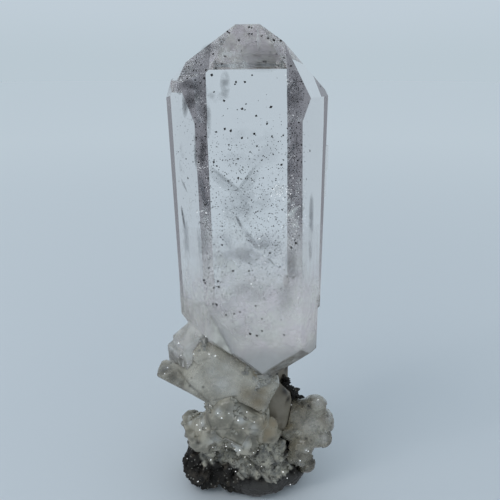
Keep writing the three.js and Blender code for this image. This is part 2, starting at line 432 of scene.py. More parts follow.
@dataclass(frozen=True)
class Studio:
    """The plain pale room: what the camera sees behind the specimen, and what its clear faces see.

    A clear crystal shows little but what lies round it, so the room is bright behind the specimen
    and greyer to both sides and above. Whatever light has been scattered sees it evenly pale.

    Attributes:
        top: Colour high behind the specimen, as the camera sees it.
        low: Colour at the horizon, as the camera sees it.
        even: Colour of the room as it lights dull surfaces.
        bright: Colour behind the specimen, seen through its faces.
        dim: Colour to the sides, seen through its faces.
        lobe: Half the width of the bright part, in degrees.
        edge: Width of the soft edge between the two, in degrees.
        rise: Elevation above and below which all is dim, in degrees.
        fade: Elevation at which the room reaches its top colour, in degrees.
        floor_radius: Radius of the floor.
        floor_painted_shade: Colour of the floor below the specimen, painted darker as shade.
        floor_far: Colour of the floor far behind it.
        floor_span: The distances between which it changes.
        lamps: The lamps' names, widths in metres, powers in watts, and places.
        bounces: How often light may bounce in each way.
    """

    top: Colour = (0.526, 0.607, 0.676, 1)
    low: Colour = (0.4926, 0.577, 0.637, 1)
    even: Colour = (0.52, 0.61, 0.68, 1)
    bright: Colour = (0.52, 0.60, 0.66, 1)
    dim: Colour = (0.225, 0.235, 0.262, 1)
    lobe: float = 52
    edge: float = 6
    rise: float = 45
    fade: float = 6
    floor_radius: float = 2.5
    floor_painted_shade: Colour = (0.72, 0.74, 0.765, 1)
    floor_far: Colour = (0.954, 0.948, 0.944, 1)
    floor_span: Span = (0.05, 0.55)
    lamps: tuple = (
        ("soft_light", 0.12, 0.09, (-0.12, -0.1, 0.25)),
        ("glint_light", 0.026, 0.024, (-0.2, -0.12, 0.2)),
    )
    bounces: tuple = (
        ("max_bounces", 32), ("diffuse_bounces", 12), ("transmission_bounces", 24),
        ("transparent_max_bounces", 32), ("glossy_bounces", 12),
    )

    def shade(self, nodes: Nodes, direction: Socket) -> Socket:
        """Returns the colour that a clear face sees in a direction: bright in the lobe, else dim."""
        parts = nodes.add("SeparateXYZ", {0: nodes.vector("NORMALIZE", direction)}).outputs
        turn = nodes.math("ABSOLUTE", nodes.math("ARCTAN2", parts[0], parts[1]))
        half = math.radians(self.edge / 2)
        lobe = math.radians(self.lobe)
        side = nodes.step(turn, lobe - half, lobe + half)
        rise = nodes.math("ABSOLUTE", nodes.math("ARCSINE", parts[2]))
        limit = math.radians(self.rise)
        high = nodes.step(rise, limit - half, limit + half)
        return nodes.blend(nodes.math("MAXIMUM", side, high), self.bright, self.dim)

    def clear_ray(self, nodes: Nodes) -> Socket:
        """Returns 1 on a ray that has met only clear or glossy faces since it left the camera."""
        path = nodes.add("LightPath").outputs
        bent = nodes.math("MAXIMUM", path["Is Transmission Ray"], path["Is Glossy Ray"])
        return nodes.math("MULTIPLY", bent, nodes.math("LESS_THAN", path["Diffuse Depth"], 0.5))

    def sky(self) -> None:
        """Makes the world, with its own colours for the camera, for dull faces and for clear ones."""
        world = bpy.data.worlds.new("studio")
        bpy.context.scene.world = world
        world.use_nodes = True
        nodes = Nodes(world.node_tree)
        direction = nodes.add("TexCoord").outputs["Generated"]
        rise = nodes.add("SeparateXYZ", {0: nodes.vector("NORMALIZE", direction)}).outputs[2]
        height = nodes.step(rise, 0, math.sin(math.radians(self.fade)))
        backdrop = nodes.blend(height, self.low, self.top)
        camera = nodes.add("LightPath").outputs["Is Camera Ray"]
        plain = nodes.blend(camera, self.even, backdrop)
        colour = nodes.blend(self.clear_ray(nodes), plain, self.shade(nodes, direction))
        light = nodes.add("Background", {"Color": colour})
        nodes.add("OutputWorld", {"Surface": light.outputs[0]})

    def floor(self) -> None:
        """Makes the round floor, which clear faces see in the colours of shade, with painted shade
        darker near the specimen.
        """
        turns = np.linspace(0, 2 * np.pi, 97)[:-1]
        rim = np.stack([np.cos(turns), np.sin(turns), 0 * turns], 1) * self.floor_radius
        floor = new_piece("floor", rim, [range(len(rim))])
        material, nodes = new_material("floor")
        place = nodes.add("TexCoord").outputs["Object"]
        direction = nodes.vector("ADD", place, (0, 0, -PhotoCamera.height))
        away = nodes.add("VectorMath", {0: place}, operation="LENGTH").outputs["Value"]
        far_share = nodes.math("POWER", nodes.step(away, *self.floor_span), 0.5)
        # Painted shade: the floor's colour is darker near the specimen.
        paint = nodes.blend(far_share, self.floor_painted_shade, self.floor_far)
        dull = nodes.add("BsdfDiffuse", {"Color": paint})
        painted_glow = nodes.add("Emission", {"Color": self.shade(nodes, direction)})
        clear = self.clear_ray(nodes)
        both = nodes.add("MixShader", {0: clear, 1: dull.outputs[0], 2: painted_glow.outputs[0]})
        nodes.add("OutputMaterial", {"Surface": both.outputs[0]})
        floor.data.materials.append(material)

    def lights(self) -> None:
        """Adds the lamps: a large soft one above to the left, and a small one for sharp highlights on
        the glossy coats.
        """
        for lamp in self.lamps:
            self.lamp(*lamp)
        scene = bpy.context.scene
        scene.view_settings.view_transform = "Standard"
        scene.cycles.use_denoising = True
        for way, number in self.bounces:
            setattr(scene.cycles, way, number)

    def lamp(self, name: str, size: float, power: float, place: tuple) -> None:
        """Adds a round lamp that shines on the specimen's middle.

        Args:
            name: The lamp's name.
            size: Its width, in metres.
            power: Its power, in watts.
            place: Where it hangs.
        """
        data = bpy.data.lights.new(name, "AREA")
        data.shape = "DISK"
        data.size = size
        data.energy = power
        lamp = bpy.data.objects.new(name, data)
        lamp.location = place
        aim = Vector((0, 0, PhotoCamera.height)) - lamp.location
        lamp.rotation_euler = aim.to_track_quat("-Z", "Y").to_euler()
        lamp.visible_transmission = False
        bpy.context.scene.collection.objects.link(lamp)

    def build(self) -> None:
        """Builds the room, the floor and the light."""
        self.sky()
        self.floor()
        self.lights()


def new_piece(name: str, points: Points, faces: list, smooth: bool = False) -> bpy.types.Object:
    """Puts points and faces into a new object at the origin.

    Args:
        name: The piece's name.
        points: Rows of x, y and z, in metres.
        faces: Lists of point numbers.
        smooth: Whether it is shaded smooth.

    Returns:
        The new object.
    """
    mesh = bpy.data.meshes.new(name)
    mesh.from_pydata(points.tolist(), [], [list(map(int, f)) for f in faces])
    mesh.polygons.foreach_set("use_smooth", np.full(len(mesh.polygons), smooth))
    return linked(bpy.data.objects.new(name, mesh))


def new_material(name: str) -> tuple[bpy.types.Material, Nodes]:
    """Makes a material with an empty node tree, and returns both."""
    material = bpy.data.materials.new(name)
    material.use_nodes = True
    return material, Nodes(material.node_tree)


def linked(piece: bpy.types.Object) -> bpy.types.Object:
    """Puts a piece into the scene, and returns it."""
    bpy.context.scene.collection.objects.link(piece)
    return piece


def finish(piece: bpy.types.Object, material: bpy.types.Material) -> None:
    """Gives a piece its material and slot, lets it ride on the specimen, and reports it."""
    piece.data.materials.append(material)
    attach(piece, "root")
    LOG.info("%s: %d faces", piece.name, len(piece.data.polygons))


def mark(piece: bpy.types.Object, name: str, values: Points) -> None:
    """Stores one number a point in a piece's mesh under a name, for its material."""
    layer = piece.data.attributes.new(name, "FLOAT", "POINT")
    layer.data.foreach_set("value", np.clip(values, 0, 1).astype(np.float32))


def boxed(points: Points) -> Points:
    """Mirrors points that stand out of the CAD's bounding box back into it, and returns all."""
    low, high = (np.array(corner) for corner in CAD_BOX)
    return high - np.abs(high - low - np.abs(points - low))


def numbers_of(items: object, name: str, width: int = 3) -> Points:
    """Reads one property of a mesh's points or faces as rows of numbers."""
    values = np.empty(len(items) * width)
    items.foreach_get(name, values)
    return values.reshape(-1, width)


def unit(rows: Points) -> Points:
    """Returns rows of vectors, each made one unit long."""
    return rows / np.linalg.norm(rows, axis=1, keepdims=True)


def node_copy(node: str, name: str, below: float | None = None) -> bpy.types.Object:
    """Copies a CAD node's mesh into a new piece, its doubled points merged and flat parts joined.

    Args:
        node: The CAD node.
        name: Name of the new piece.
        below: Height above which the copy is cut away and closed, or None for all of it.

    Returns:
        The new object.
    """
    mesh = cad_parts[node].data.copy()
    mesh.name = name
    mesh.materials.clear()
    form = bmesh.new()
    form.from_mesh(mesh)
    bmesh.ops.remove_doubles(form, verts=form.verts, dist=DOUBLES)
    if below is not None:
        whole = form.verts[:] + form.edges[:] + form.faces[:]
        cut = bmesh.ops.bisect_plane(
            form, geom=whole, plane_co=(0, 0, below), plane_no=(0, 0, 1), clear_outer=True
        )
        rim = [e for e in cut["geom_cut"] if isinstance(e, bmesh.types.BMEdge)]
        bmesh.ops.triangle_fill(form, edges=rim, normal=(0, 0, 1))
    bmesh.ops.dissolve_limit(form, angle_limit=FLAT, verts=form.verts, edges=form.edges)
    form.to_mesh(mesh)
    form.free()
    mesh.polygons.foreach_set("use_smooth", np.zeros(len(mesh.polygons), bool))
    return linked(bpy.data.objects.new(name, mesh))


@dataclass(frozen=True)
class Waves:
    """Unevenness of a surface, from layers of noise.

    Attributes:
        pitch: Width of the broadest waves.
        height: Height of the waves.
        count: Number of layers.
        shift: How far the field is shifted, so that two of them differ.
    """

    pitch: float
    height: float
    count: int = 3
    shift: float = 0.0

    def at(self, noise: Noise, points: Points) -> Points:
        """Returns their height at points."""
        return noise.layers(points + self.shift, self.pitch, self.count) * self.height


@dataclass(frozen=True)
class Flats:
    """Broad flat facets that a skin is drawn to.

    Attributes:
        pitch: Middling width of a facet.
        low: How far a point moves at least, under 0 for inwards.
        high: How far it moves at most.
        seed: Seed of the random middles and leans.
        lean: How far the facets lean, as the spread of a tangent.
        counted: How many of the nearest facets count.
    """

    pitch: float
    low: float
    high: float
    seed: int
    lean: float = 0.3
    counted: int = 4


@dataclass(frozen=True)
class Crop:
    """Small crystals that grow on a skin.

    Attributes:
        count: Number of crystals.
        length: Their middling length.
        lean: How far they lean off the surface's normal, as the spread of a tangent.
        seed: Seed of the random places.
    """

    count: int
    length: float
    lean: float
    seed: int


class Skin:
    """A fine closed surface made over a CAD node, whose points are moved in and out.

    Attributes:
        piece: The Blender object.
        points: Rows of x, y and z.
        outward: Rows of unit normals.
    """

    def __init__(
        self, node: str, name: str, voxel: float, below: float | None = None, soften: int = 0
    ) -> None:
        """Remeshes a copy of a node.

        Args:
            node: The CAD node.
            name: Name of the new piece.
            voxel: Side of one face.
            below: Height above which the copy is cut away, or None for all of it.
            soften: How many times the new surface is smoothed.
        """
        rough = node_copy(node, name + "_rough", below)
        remesh = rough.modifiers.new("fine", "REMESH")
        remesh.mode = "VOXEL"
        remesh.voxel_size = voxel
        smooth = rough.modifiers.new("soft", "SMOOTH")
        smooth.factor = 0.5
        smooth.iterations = soften
        graph = bpy.context.evaluated_depsgraph_get()
        mesh = bpy.data.meshes.new_from_object(rough.evaluated_get(graph))
        mesh.name = name
        bpy.data.objects.remove(rough)
        self.piece = linked(bpy.data.objects.new(name, mesh))
        self.read()

    def read(self) -> None:
        """Reads the points and normals from the mesh."""
        mesh = self.piece.data
        self.points = numbers_of(mesh.vertices, "co")
        self.outward = numbers_of(mesh.vertex_normals, "vector")

    def move(self, out: Points) -> None:
        """Moves each point out along its normal, and keeps it inside the CAD box."""
        moved = self.points + self.outward * np.reshape(out, (-1, 1))
        mesh = self.piece.data
        mesh.vertices.foreach_set("co", boxed(moved).ravel())
        mesh.polygons.foreach_set("use_smooth", np.ones(len(mesh.polygons), bool))
        mesh.update()
        self.read()

    def facets(self, flats: Flats) -> Points:
        """Works out how far to move each point to lie on broad flat facets.

        A facet has a middle c, one of the points, and a normal n: the surface's own, leaned a
        little. A point p with the outward normal m meets its plane after ((c - p) . n) / (m . n).
        The lowest of a point's nearest facets counts, so they meet in straight outward edges.

        Args:
            flats: The facets.

        Returns:
            One distance a point.
        """
        rng = np.random.default_rng(flats.seed)
        area = numbers_of(self.piece.data.polygons, "area", 1).sum()
        pick = rng.choice(len(self.points), int(area / flats.pitch**2), replace=False)
        middles = self.points[pick]
        normals = unit(self.outward[pick] + rng.normal(size=middles.shape) * flats.lean)
        far = np.sum(middles**2, axis=1) - 2 * self.points @ middles.T
        nearest = np.argpartition(far, flats.counted, axis=1)[:, : flats.counted]
        gap = np.sum((middles[nearest] - self.points[:, None]) * normals[nearest], axis=2)
        facing = np.sum(self.outward[:, None] * normals[nearest], axis=2)
        out = (gap / np.maximum(facing, LEAST_FACING)).min(axis=1)
        return np.clip(out, flats.low, flats.high)

    def spots(self, camera: PhotoCamera, rows: tuple) -> Points:
        """Works out how close the points are to round marks seen in the photograph.

        Args:
            camera: The camera.
            rows: Rows of x, y, radius and strength. The first three are in pixels.

        Returns:
            One number a point: the highest of each mark's strength times its nearness.
        """
        table = np.array(rows, float)
        result = np.zeros(len(self.points))
        for row in table:
            centre, radius = camera.marks([row[:3]], self.piece)
            result = np.maximum(result, row[3] * near(self.points, centre, radius))
        return result

    def grown(self, crop: Crop, share: Points) -> tuple[Points, list]:
        """Grows small crystals on the surface.

        Args:
            crop: The crystals.
            share: How likely each of the surface's points is to carry one.

        Returns:
            The points, and the faces as lists of point numbers, of those that stay in the CAD box.
        """
        rng = np.random.default_rng(crop.seed)
        pick = rng.choice(len(self.points), crop.count, p=share / share.sum())
        ways = unit(self.outward[pick] + rng.normal(size=(crop.count, 3)) * crop.lean)
        lengths = crop.length * np.exp(rng.normal(0, CRYSTAL_SPREAD, crop.count))
        low, high = (np.array(corner) for corner in CAD_BOX)
        reach = CRYSTAL_REACH * lengths[:, None]
        places = self.points[pick]
        kept = ((places - reach > low) & (places + reach < high)).all(axis=1)
        return crystal_points(places[kept], ways[kept], lengths[kept], crop.seed)


def near(points: Points, centres: Points, radii: Points) -> Points:
    """Works out how close points are to a few soft balls.

    Args:
        points: Rows of x, y and z.
        centres: Rows of x, y and z.
        radii: One radius a centre.

    Returns:
        One number a point: the largest of exp(-(distance / radius) squared).
    """
    result = np.zeros(len(points))
    for centre, radius in zip(centres, np.broadcast_to(radii, len(centres))):
        far = np.sum((points - centre) ** 2, axis=1) / radius**2
        result = np.maximum(result, np.exp(-far))
    return result


def ramp(values: Points, low: float, high: float) -> Points:
    """Returns 0 under low, 1 over high and a smooth step between."""
    share = np.clip((values - low) / (high - low), 0, 1)
    return share * share * (3 - 2 * share)


def bodies(points: Points, pattern: list) -> tuple[Points, list]:
    """Joins many bodies, from rows of each one's points and one pattern of faces."""
    starts = np.arange(len(points)) * points.shape[1]
    return points.reshape(-1, 3), [np.add(face, start) for start in starts for face in pattern]


def crystal_points(places: Points, ways: Points, sizes: Points, seed: int) -> tuple[Points, list]:
    """Makes many small six-sided crystals, each a closed prism with a pointed top.

    A crystal's points are a foot and a shoulder ring of six round its axis and one tip, turned so
    that the axis follows its way. Each is sunk by half its length into what carries it.

    Args:
        places: Rows of x, y and z: where each one grows.
        ways: Rows of unit vectors: the directions of the axes.
        sizes: The lengths.
        seed: Seed of the random turns and widths.

    Returns:
        The points, and the faces as lists of point numbers.
    """
    rng = np.random.default_rng(seed)
    turns = np.radians(np.arange(6) * 60)
    ring = np.stack([np.cos(turns), np.sin(turns)], 1) * CRYSTAL_RADIUS
    foot = np.column_stack([ring, np.full(6, -0.5)])
    shoulder = np.column_stack([ring, np.full(6, CRYSTAL_SHOULDER)])
    shape = np.vstack([foot, shoulder, [[0, 0, 0.5]]])
    side = unit(np.cross(ways, rng.normal(size=ways.shape)))
    axes = np.stack([side, np.cross(ways, side), ways], 1)
    widths = sizes[:, None] * rng.uniform(*CRYSTAL_WIDTHS, (len(sizes), 1))
    scale = np.column_stack([widths, widths, sizes])
    local = shape[None] * scale[:, None]
    points = places[:, None] + np.einsum("npk,nkj->npj", local, axes)
    walls = [(i, (i + 1) % 6, 6 + (i + 1) % 6, 6 + i) for i in range(6)]
    tops = [(6 + i, 6 + (i + 1) % 6, 12) for i in range(6)]
    return bodies(points, [tuple(range(5, -1, -1)), *walls, *tops])


def specks(places: Points, sizes: Points, seed: int) -> tuple[Points, list]:
    """Makes many small uneven grains, each closed, with eight faces and six corners.

    A grain's corners lie along three turned axes, each at its own random distance both ways.

    Args:
        places: Rows of x, y and z.
        sizes: The widths.
        seed: Seed of the random shapes.

    Returns:
        The points, and the faces as lists of point numbers.
    """
    rng = np.random.default_rng(seed)
    corners = np.vstack([np.eye(3), -np.eye(3)]) * 0.5
    reach = sizes[:, None, None] * rng.uniform(*GRAIN_REACHES, (len(sizes), 6, 1))
    axes = np.linalg.qr(rng.normal(size=(len(sizes), 3, 3)))[0]
    axes *= np.linalg.det(axes)[:, None, None]
    points = places[:, None] + np.einsum("npk,nkj->npj", corners[None] * reach, axes)
    pattern = [(0, 1, 2), (1, 3, 2), (3, 4, 2), (4, 0, 2), (1, 0, 5), (3, 1, 5), (4, 3, 5), (0, 4, 5)]
    return bodies(points, pattern)


def lenses(centres: Points, across: Points, up: Points, rounds: int = 8) -> tuple:
    """Makes thin closed lenses: flattened balls, whose cover is highest in the middle.

    A ball's point at longitude u and latitude v is cos v cos u along across, cos v sin u along up
    and sin v along their cross product, which is made a small share of across long. The cover is
    the square of sin v.

    Args:
        centres: Rows of x, y and z.
        across: Rows of vectors from the middle to the rim.
        up: Rows of vectors from the middle to the rim, at right angles to across.
        rounds: Number of rings between one pole and the other.

    Returns:
        The points, the faces as lists of point numbers, and one cover a point.
    """
    turns = 3 * rounds
    u = np.tile(np.arange(turns) * 2 * np.pi / turns, rounds - 1)
    v = np.repeat(np.linspace(-np.pi / 2, np.pi / 2, rounds + 1)[1:-1], turns)
    u, v = np.append(u, [0, 0]), np.append(v, [-np.pi / 2, np.pi / 2])
    wide = np.linalg.norm(across, axis=1, keepdims=True)
    out = unit(np.cross(across, up)) * LENS_THICKNESS * wide
    parts = np.stack([np.cos(v) * np.cos(u), np.cos(v) * np.sin(u), np.sin(v)], 1)
    axes = np.stack([across, up, out], 1)
    points = centres[:, None] + np.einsum("pk,nkj->npj", parts, axes)
    last = (rounds - 2) * turns
    edges = [(k + i, k + (i + 1) % turns) for k in range(0, last, turns) for i in range(turns)]
    pattern = [(a, b, b + turns, a + turns) for a, b in edges]
    south, north = len(u) - 2, len(u) - 1
    pattern += [(south, (i + 1) % turns, i) for i in range(turns)]
    pattern += [(north, last + i, last + (i + 1) % turns) for i in range(turns)]
    return *bodies(points, pattern), np.tile(np.sin(v) ** 2, len(centres))


@dataclass(frozen=True)
class Finish:
    """A finish: its colours and sizes, with lengths in millimetres, and its material.

    Attributes:
        name: The material's name.
    """

    name: str

    def build(self, effects: Effects) -> bpy.types.Material:
        """Returns the material."""
        material, nodes = new_material(self.name)
        self.paint(nodes, effects)
        return material

    def paint(self, nodes: Nodes, effects: Effects) -> None:
        """Fills the material's node tree, with the shared patterns at hand."""
        raise NotImplementedError


@dataclass(frozen=True)
class ClearQuartz(Finish):
    """Clear quartz: plain refraction, with a faint smoky tint that deepens with thickness.

    Attributes:
        index: Quartz's index of refraction.
        tint: Colour of the light that has gone through a long way.
        density: How fast it takes that colour, a metre.
    """

    name: str = "clear_quartz"
    index: float = 1.544
    tint: Colour = (0.68, 0.67, 0.72, 1)
    density: float = 8

    def paint(self, nodes: Nodes, effects: Effects) -> None:
        """Fills the material's node tree."""
        inside = nodes.add("VolumeAbsorption", {"Color": self.tint, "Density": self.density})
        inputs = {"Base Color": (1, 1, 1, 1), "Roughness": 0, "IOR": self.index}
        nodes.surface(inputs | {"Transmission Weight": 1}, inside.outputs[0])


@dataclass(frozen=True)
class Milk(Finish):
    """The cloudy quartz in the foot of the head: soft pale veils that thicken downwards.

    Attributes:
        pale: Colour of the veils where they are palest.
        mauve: Colour of their greyer clouds.
        haze: How much one veil hides in the thin upper part.
        haze_span: Heights over which the haze sets in.
        cover: How much one veil hides at most.
        span: Heights over which the veils reach their cover.
        pitch: Width of the clouds.
        wisp: Width of the fine wisps.
        patch: Width of the patches of colour.
        wander: How far the clouds shift those heights.
        uneven: The least cover of a cloud, and how much more it has at most, as shares.
        painted_glow: Painted light that it gives out though no lamp lights it, as a share of its
            colour.
    """

    name: str = "milk"
    pale: Colour = (0.93, 0.955, 0.925, 1)
    mauve: Colour = (0.87, 0.845, 0.885, 1)
    haze: float = 0.045
    haze_span: Span = (54, 46)
    cover: float = 0.36
    span: Span = (42, 26)
    pitch: float = 6
    wisp: float = 1.5
    patch: float = 2.6
    wander: float = 7
    uneven: Span = (0.7, 0.6)
    painted_glow: float = 0.12

    def paint(self, nodes: Nodes, effects: Effects) -> None:
        """Fills the material's node tree."""
        place = nodes.place_mm()
        height = nodes.add("SeparateXYZ", {0: place}).outputs[2]
        least, more = self.uneven
        cloud = effects.use(nodes, effects.mottle, place, pitch=self.pitch, low=0.25, high=0.7)
        shift = nodes.math("MULTIPLY_ADD", cloud, self.wander, -self.wander / 2)
        depth = nodes.math("SUBTRACT", shift, height)
        haze = nodes.math("MULTIPLY", nodes.step(depth, *(-h for h in self.haze_span)), self.haze)
        haze = nodes.math("MULTIPLY", haze, nodes.math("MULTIPLY_ADD", cloud, more, least))
        thick = nodes.math("MULTIPLY", nodes.step(depth, *(-h for h in self.span)), self.cover)
        wisps = effects.use(nodes, effects.mottle, place, pitch=self.wisp, low=0.38, high=0.62)
        wisps = nodes.math("MULTIPLY_ADD", wisps, more, least)
        tone = effects.use(nodes, effects.mottle, place, pitch=self.patch, low=0.42, high=0.58)
        colour = nodes.blend(tone, self.mauve, self.pale)
        nodes.surface({
            "Base Color": colour,
            "Roughness": 1.0,
            "Specular IOR Level": 0.0,
            "Alpha": nodes.math("MULTIPLY_ADD", thick, wisps, haze),
            # Painted light: the veils give out some of their own colour, to look paler.
            "Emission Color": colour,
            "Emission Strength": self.painted_glow,
        })


@dataclass(frozen=True)
class Film(Finish):
    """A thin cloudy film inside the clear quartz, which covers what the mesh marks.

    Attributes:
        tone: The film's colour.
        painted_glow: Painted light that it gives out though no lamp lights it, as a share of its
            colour.
        pitch: Width of the clouds.
        low: Noise under which it is clear. It is whole a little above.
    """

    tone: Colour
    painted_glow: float = 0.0
    pitch: float = 1.3
    low: float = 0.35

    def paint(self, nodes: Nodes, effects: Effects) -> None:
        """Fills the material's node tree."""
        place = nodes.place_mm()
        limits = {"low": self.low, "high": self.low + 0.27}
        cloud = effects.use(nodes, effects.mottle, place, pitch=self.pitch, **limits)
        alpha = nodes.math("MULTIPLY", cloud, nodes.attribute("cover"))
        inputs = {"Base Color": self.tone, "Roughness": 1.0, "Alpha": alpha}
        # Painted light: the film gives out some of its own colour.
        if self.painted_glow:
            inputs |= {"Emission Color": self.tone, "Emission Strength": self.painted_glow}
        nodes.surface(inputs | {"Specular IOR Level": 0.0})


@dataclass(frozen=True)
class Frosted(Finish):
    """A frosted finish: clouds of colour, a glossy coat and small tilted flats.

    Attributes:
        clouds: Width of the clouds.
        roughness: Lowest roughness of the surface.
        gloss: Weight of the glossy coat.
        gloss_roughness: Roughness of the coat.
        flats: Pitch of the tilted flats.
        relief: Height of the flats.
    """

    clouds: float = 3.2
    roughness: float = 0.18
    gloss: float = 0.6
    gloss_roughness: float = 0.08
    flats: float = 0.55
    relief: float = 0.05


@dataclass(frozen=True)
class CloudyQuartz(Frosted):
    """Milky, frosted quartz with clouds, dark grit, stains and small tilted flats.

    The mesh marks its stains, its dark parts with painted shade, and its whitest parts with painted
    highlights.

    Attributes:
        pale: Colour of its clearer clouds.
        grey: Colour of its darker clouds.
        stain: Colour of its stains.
        dark: Colour of its dark parts and of its painted shade.
        white: Colour of its whitest parts and of its painted highlights.
        clarity: Share of the light that goes through.
        uneven: How much rougher than its lowest it is at most.
        grit: Pitch of the dark grit.
        grit_radius: Radius of a grain, as a share of the pitch.
        grit_cover: How much a grain hides.
        ripple: Height of fine clouds on the flats, as a share of the relief.
        marked: Whether the mesh marks stains, dark parts with painted shade, and whitest parts with
            painted highlights.
    """

    pale: Colour = (0.78, 0.75, 0.69, 1)
    grey: Colour = (0.52, 0.50, 0.45, 1)
    stain: Colour = (0.40, 0.30, 0.16, 1)
    dark: Colour = (0.06, 0.055, 0.045, 1)
    white: Colour = (0.95, 0.94, 0.91, 1)
    clarity: float = 0.65
    uneven: float = 0.25
    grit: float = 0.8
    grit_radius: float = 0.12
    grit_cover: float = 0.5
    ripple: float = 0.15
    marked: bool = True

    def paint(self, nodes: Nodes, effects: Effects) -> None:
        """Fills the material's node tree."""
        place = nodes.place_mm()
        use = effects.use
        cloud = use(nodes, effects.mottle, place, pitch=self.clouds, low=0.38, high=0.62)
        colour = nodes.blend(cloud, self.grey, self.pale)
        if self.marked:
            # Painted highlights, with its whitest parts.
            colour = nodes.blend(nodes.attribute("white"), colour, self.white)
            colour = nodes.blend(nodes.attribute("stain"), colour, self.stain)
            # Painted shade, with its dark parts.
            colour = nodes.blend(nodes.attribute("dark"), colour, self.dark)
        grit = use(nodes, effects.grit, place, pitch=self.grit, radius=self.grit_radius)
        colour = nodes.blend(nodes.math("MULTIPLY", grit, self.grit_cover), colour, self.dark)
        fine = use(nodes, effects.mottle, place, pitch=self.clouds / 6, low=0.4, high=0.6)
        flats = use(nodes, effects.facets, place, pitch=self.flats)
        height = nodes.math("MULTIPLY_ADD", fine, self.ripple, flats)
        nodes.surface({
            "Base Color": colour,
            "Roughness": nodes.math("MULTIPLY_ADD", fine, self.uneven, self.roughness),
            "IOR": ClearQuartz.index,
            "Transmission Weight": self.clarity,
            "Coat Weight": self.gloss,
            "Coat Roughness": self.gloss_roughness,
            "Normal": nodes.bump(height, self.relief),
        })


@dataclass(frozen=True)
class DarkStone(Frosted):
    """The porous iron-stained matrix, brown-black with greyer sparkling parts.

    The mesh marks where small quartz covers it, where it is smooth and where it is hollow; the
    hollows are painted black as painted shade.

    Attributes:
        black: Colour of the stone.
        brown: Colour of its rusty parts.
        fleck: Colour of the pale flecks in its porous parts.
        grey: Colour of the clearer clouds where small quartz covers it.
        dusk: Colour of the darker clouds there.
        slate: Colour of its smooth low part.
        rust: Width of the rusty parts.
        flecks: Pitch of the pale flecks, and their radius as a share of it.
        fleck_cover: How much a pale fleck hides.
        grit: The same of the dark grit.
        grit_cover: How much a dark grain hides.
        shine: How much smoother than the bare stone its quartz and its smooth part are.
    """

    name: str = "matrix_stone"
    black: Colour = (0.022, 0.019, 0.016, 1)
    brown: Colour = (0.075, 0.06, 0.045, 1)
    fleck: Colour = (0.34, 0.32, 0.28, 1)
    grey: Colour = (0.56, 0.51, 0.41, 1)
    dusk: Colour = (0.17, 0.165, 0.15, 1)
    slate: Colour = (0.062, 0.058, 0.052, 1)
    rust: float = 1.6
    clouds: float = 1.1
    flecks: Span = (0.55, 0.24)
    fleck_cover: float = 0.7
    grit: Span = (0.42, 0.22)
    grit_cover: float = 0.6
    roughness: float = 0.85
    shine: float = 0.5
    gloss: float = 0.5
    gloss_roughness: float = 0.1
    flats: float = 0.35
    relief: float = 0.08

    def spots(self, nodes: Nodes, effects: Effects, place: Socket, grains: Span) -> Socket:
        """Returns the grit pattern at a place, for grains of some pitch and radius."""
        return effects.use(nodes, effects.grit, place, pitch=grains[0], radius=grains[1])

    def paint(self, nodes: Nodes, effects: Effects) -> None:
        """Fills the material's node tree."""
        place = nodes.place_mm()
        use = effects.use
        quartz, smooth = nodes.attribute("quartz"), nodes.attribute("smooth")
        rust = use(nodes, effects.mottle, place, pitch=self.rust, low=0.5, high=0.66)
        colour = nodes.blend(rust, self.black, self.brown)
        fleck = self.spots(nodes, effects, place, self.flecks)
        colour = nodes.blend(nodes.math("MULTIPLY", fleck, self.fleck_cover), colour, self.fleck)
        colour = nodes.blend(smooth, colour, self.slate)
        cloud = use(nodes, effects.mottle, place, pitch=self.clouds, low=0.3, high=0.7)
        colour = nodes.blend(quartz, colour, nodes.blend(cloud, self.dusk, self.grey))
        grit = self.spots(nodes, effects, place, self.grit)
        colour = nodes.blend(nodes.math("MULTIPLY", grit, self.grit_cover), colour, self.black)
        # Painted shade: cavities and crevices are painted black.
        colour = nodes.blend(nodes.attribute("hollow"), colour, self.black)
        shine = nodes.math("MAXIMUM", quartz, smooth)
        flats = use(nodes, effects.facets, place, pitch=self.flats)
        nodes.surface({
            "Base Color": colour,
            "Roughness": nodes.math("MULTIPLY_ADD", shine, -self.shine, self.roughness),
            "Coat Weight": nodes.math("MULTIPLY", quartz, self.gloss),
            "Coat Roughness": self.gloss_roughness,
            "Normal": nodes.bump(flats, self.relief),
        })


@dataclass(frozen=True)
class Plain(Finish):
    """A small-scale finish for grains and flakes, mottled between two near colours.

    Attributes:
        light: The lighter colour.
        deep: The darker colour.
        roughness: Roughness of the surface.
        painted_glow: Painted light that it gives out though no lamp lights it, as a share of its
            colour.
        clouds: Width of the clouds.
    """

    light: Colour
    deep: Colour
    roughness: float
    painted_glow: float = 0.0
    clouds: float = 0.8

    def paint(self, nodes: Nodes, effects: Effects) -> None:
        """Fills the material's node tree."""
        place = nodes.place_mm()
        cloud = effects.use(nodes, effects.mottle, place, pitch=self.clouds, low=0.35, high=0.65)
        colour = nodes.blend(cloud, self.deep, self.light)
        inputs = {"Base Color": colour, "Roughness": self.roughness}
        # Painted light for the bright flecks and the small highlights, which give out their own
        # colour.
        if self.painted_glow:
            inputs |= {"Emission Color": colour, "Emission Strength": self.painted_glow}
        nodes.surface(inputs)


@dataclass
class Part:
    """What every sub-assembly holds. Marks are rows of x, y, radius in pixels, and strength.

    Attributes:
        camera: The camera, for what is placed by the photograph.
        effects: The shared patterns.
        seed: Seed of what is random.
    """

    camera: PhotoCamera
    effects: Effects
    seed: int = 11


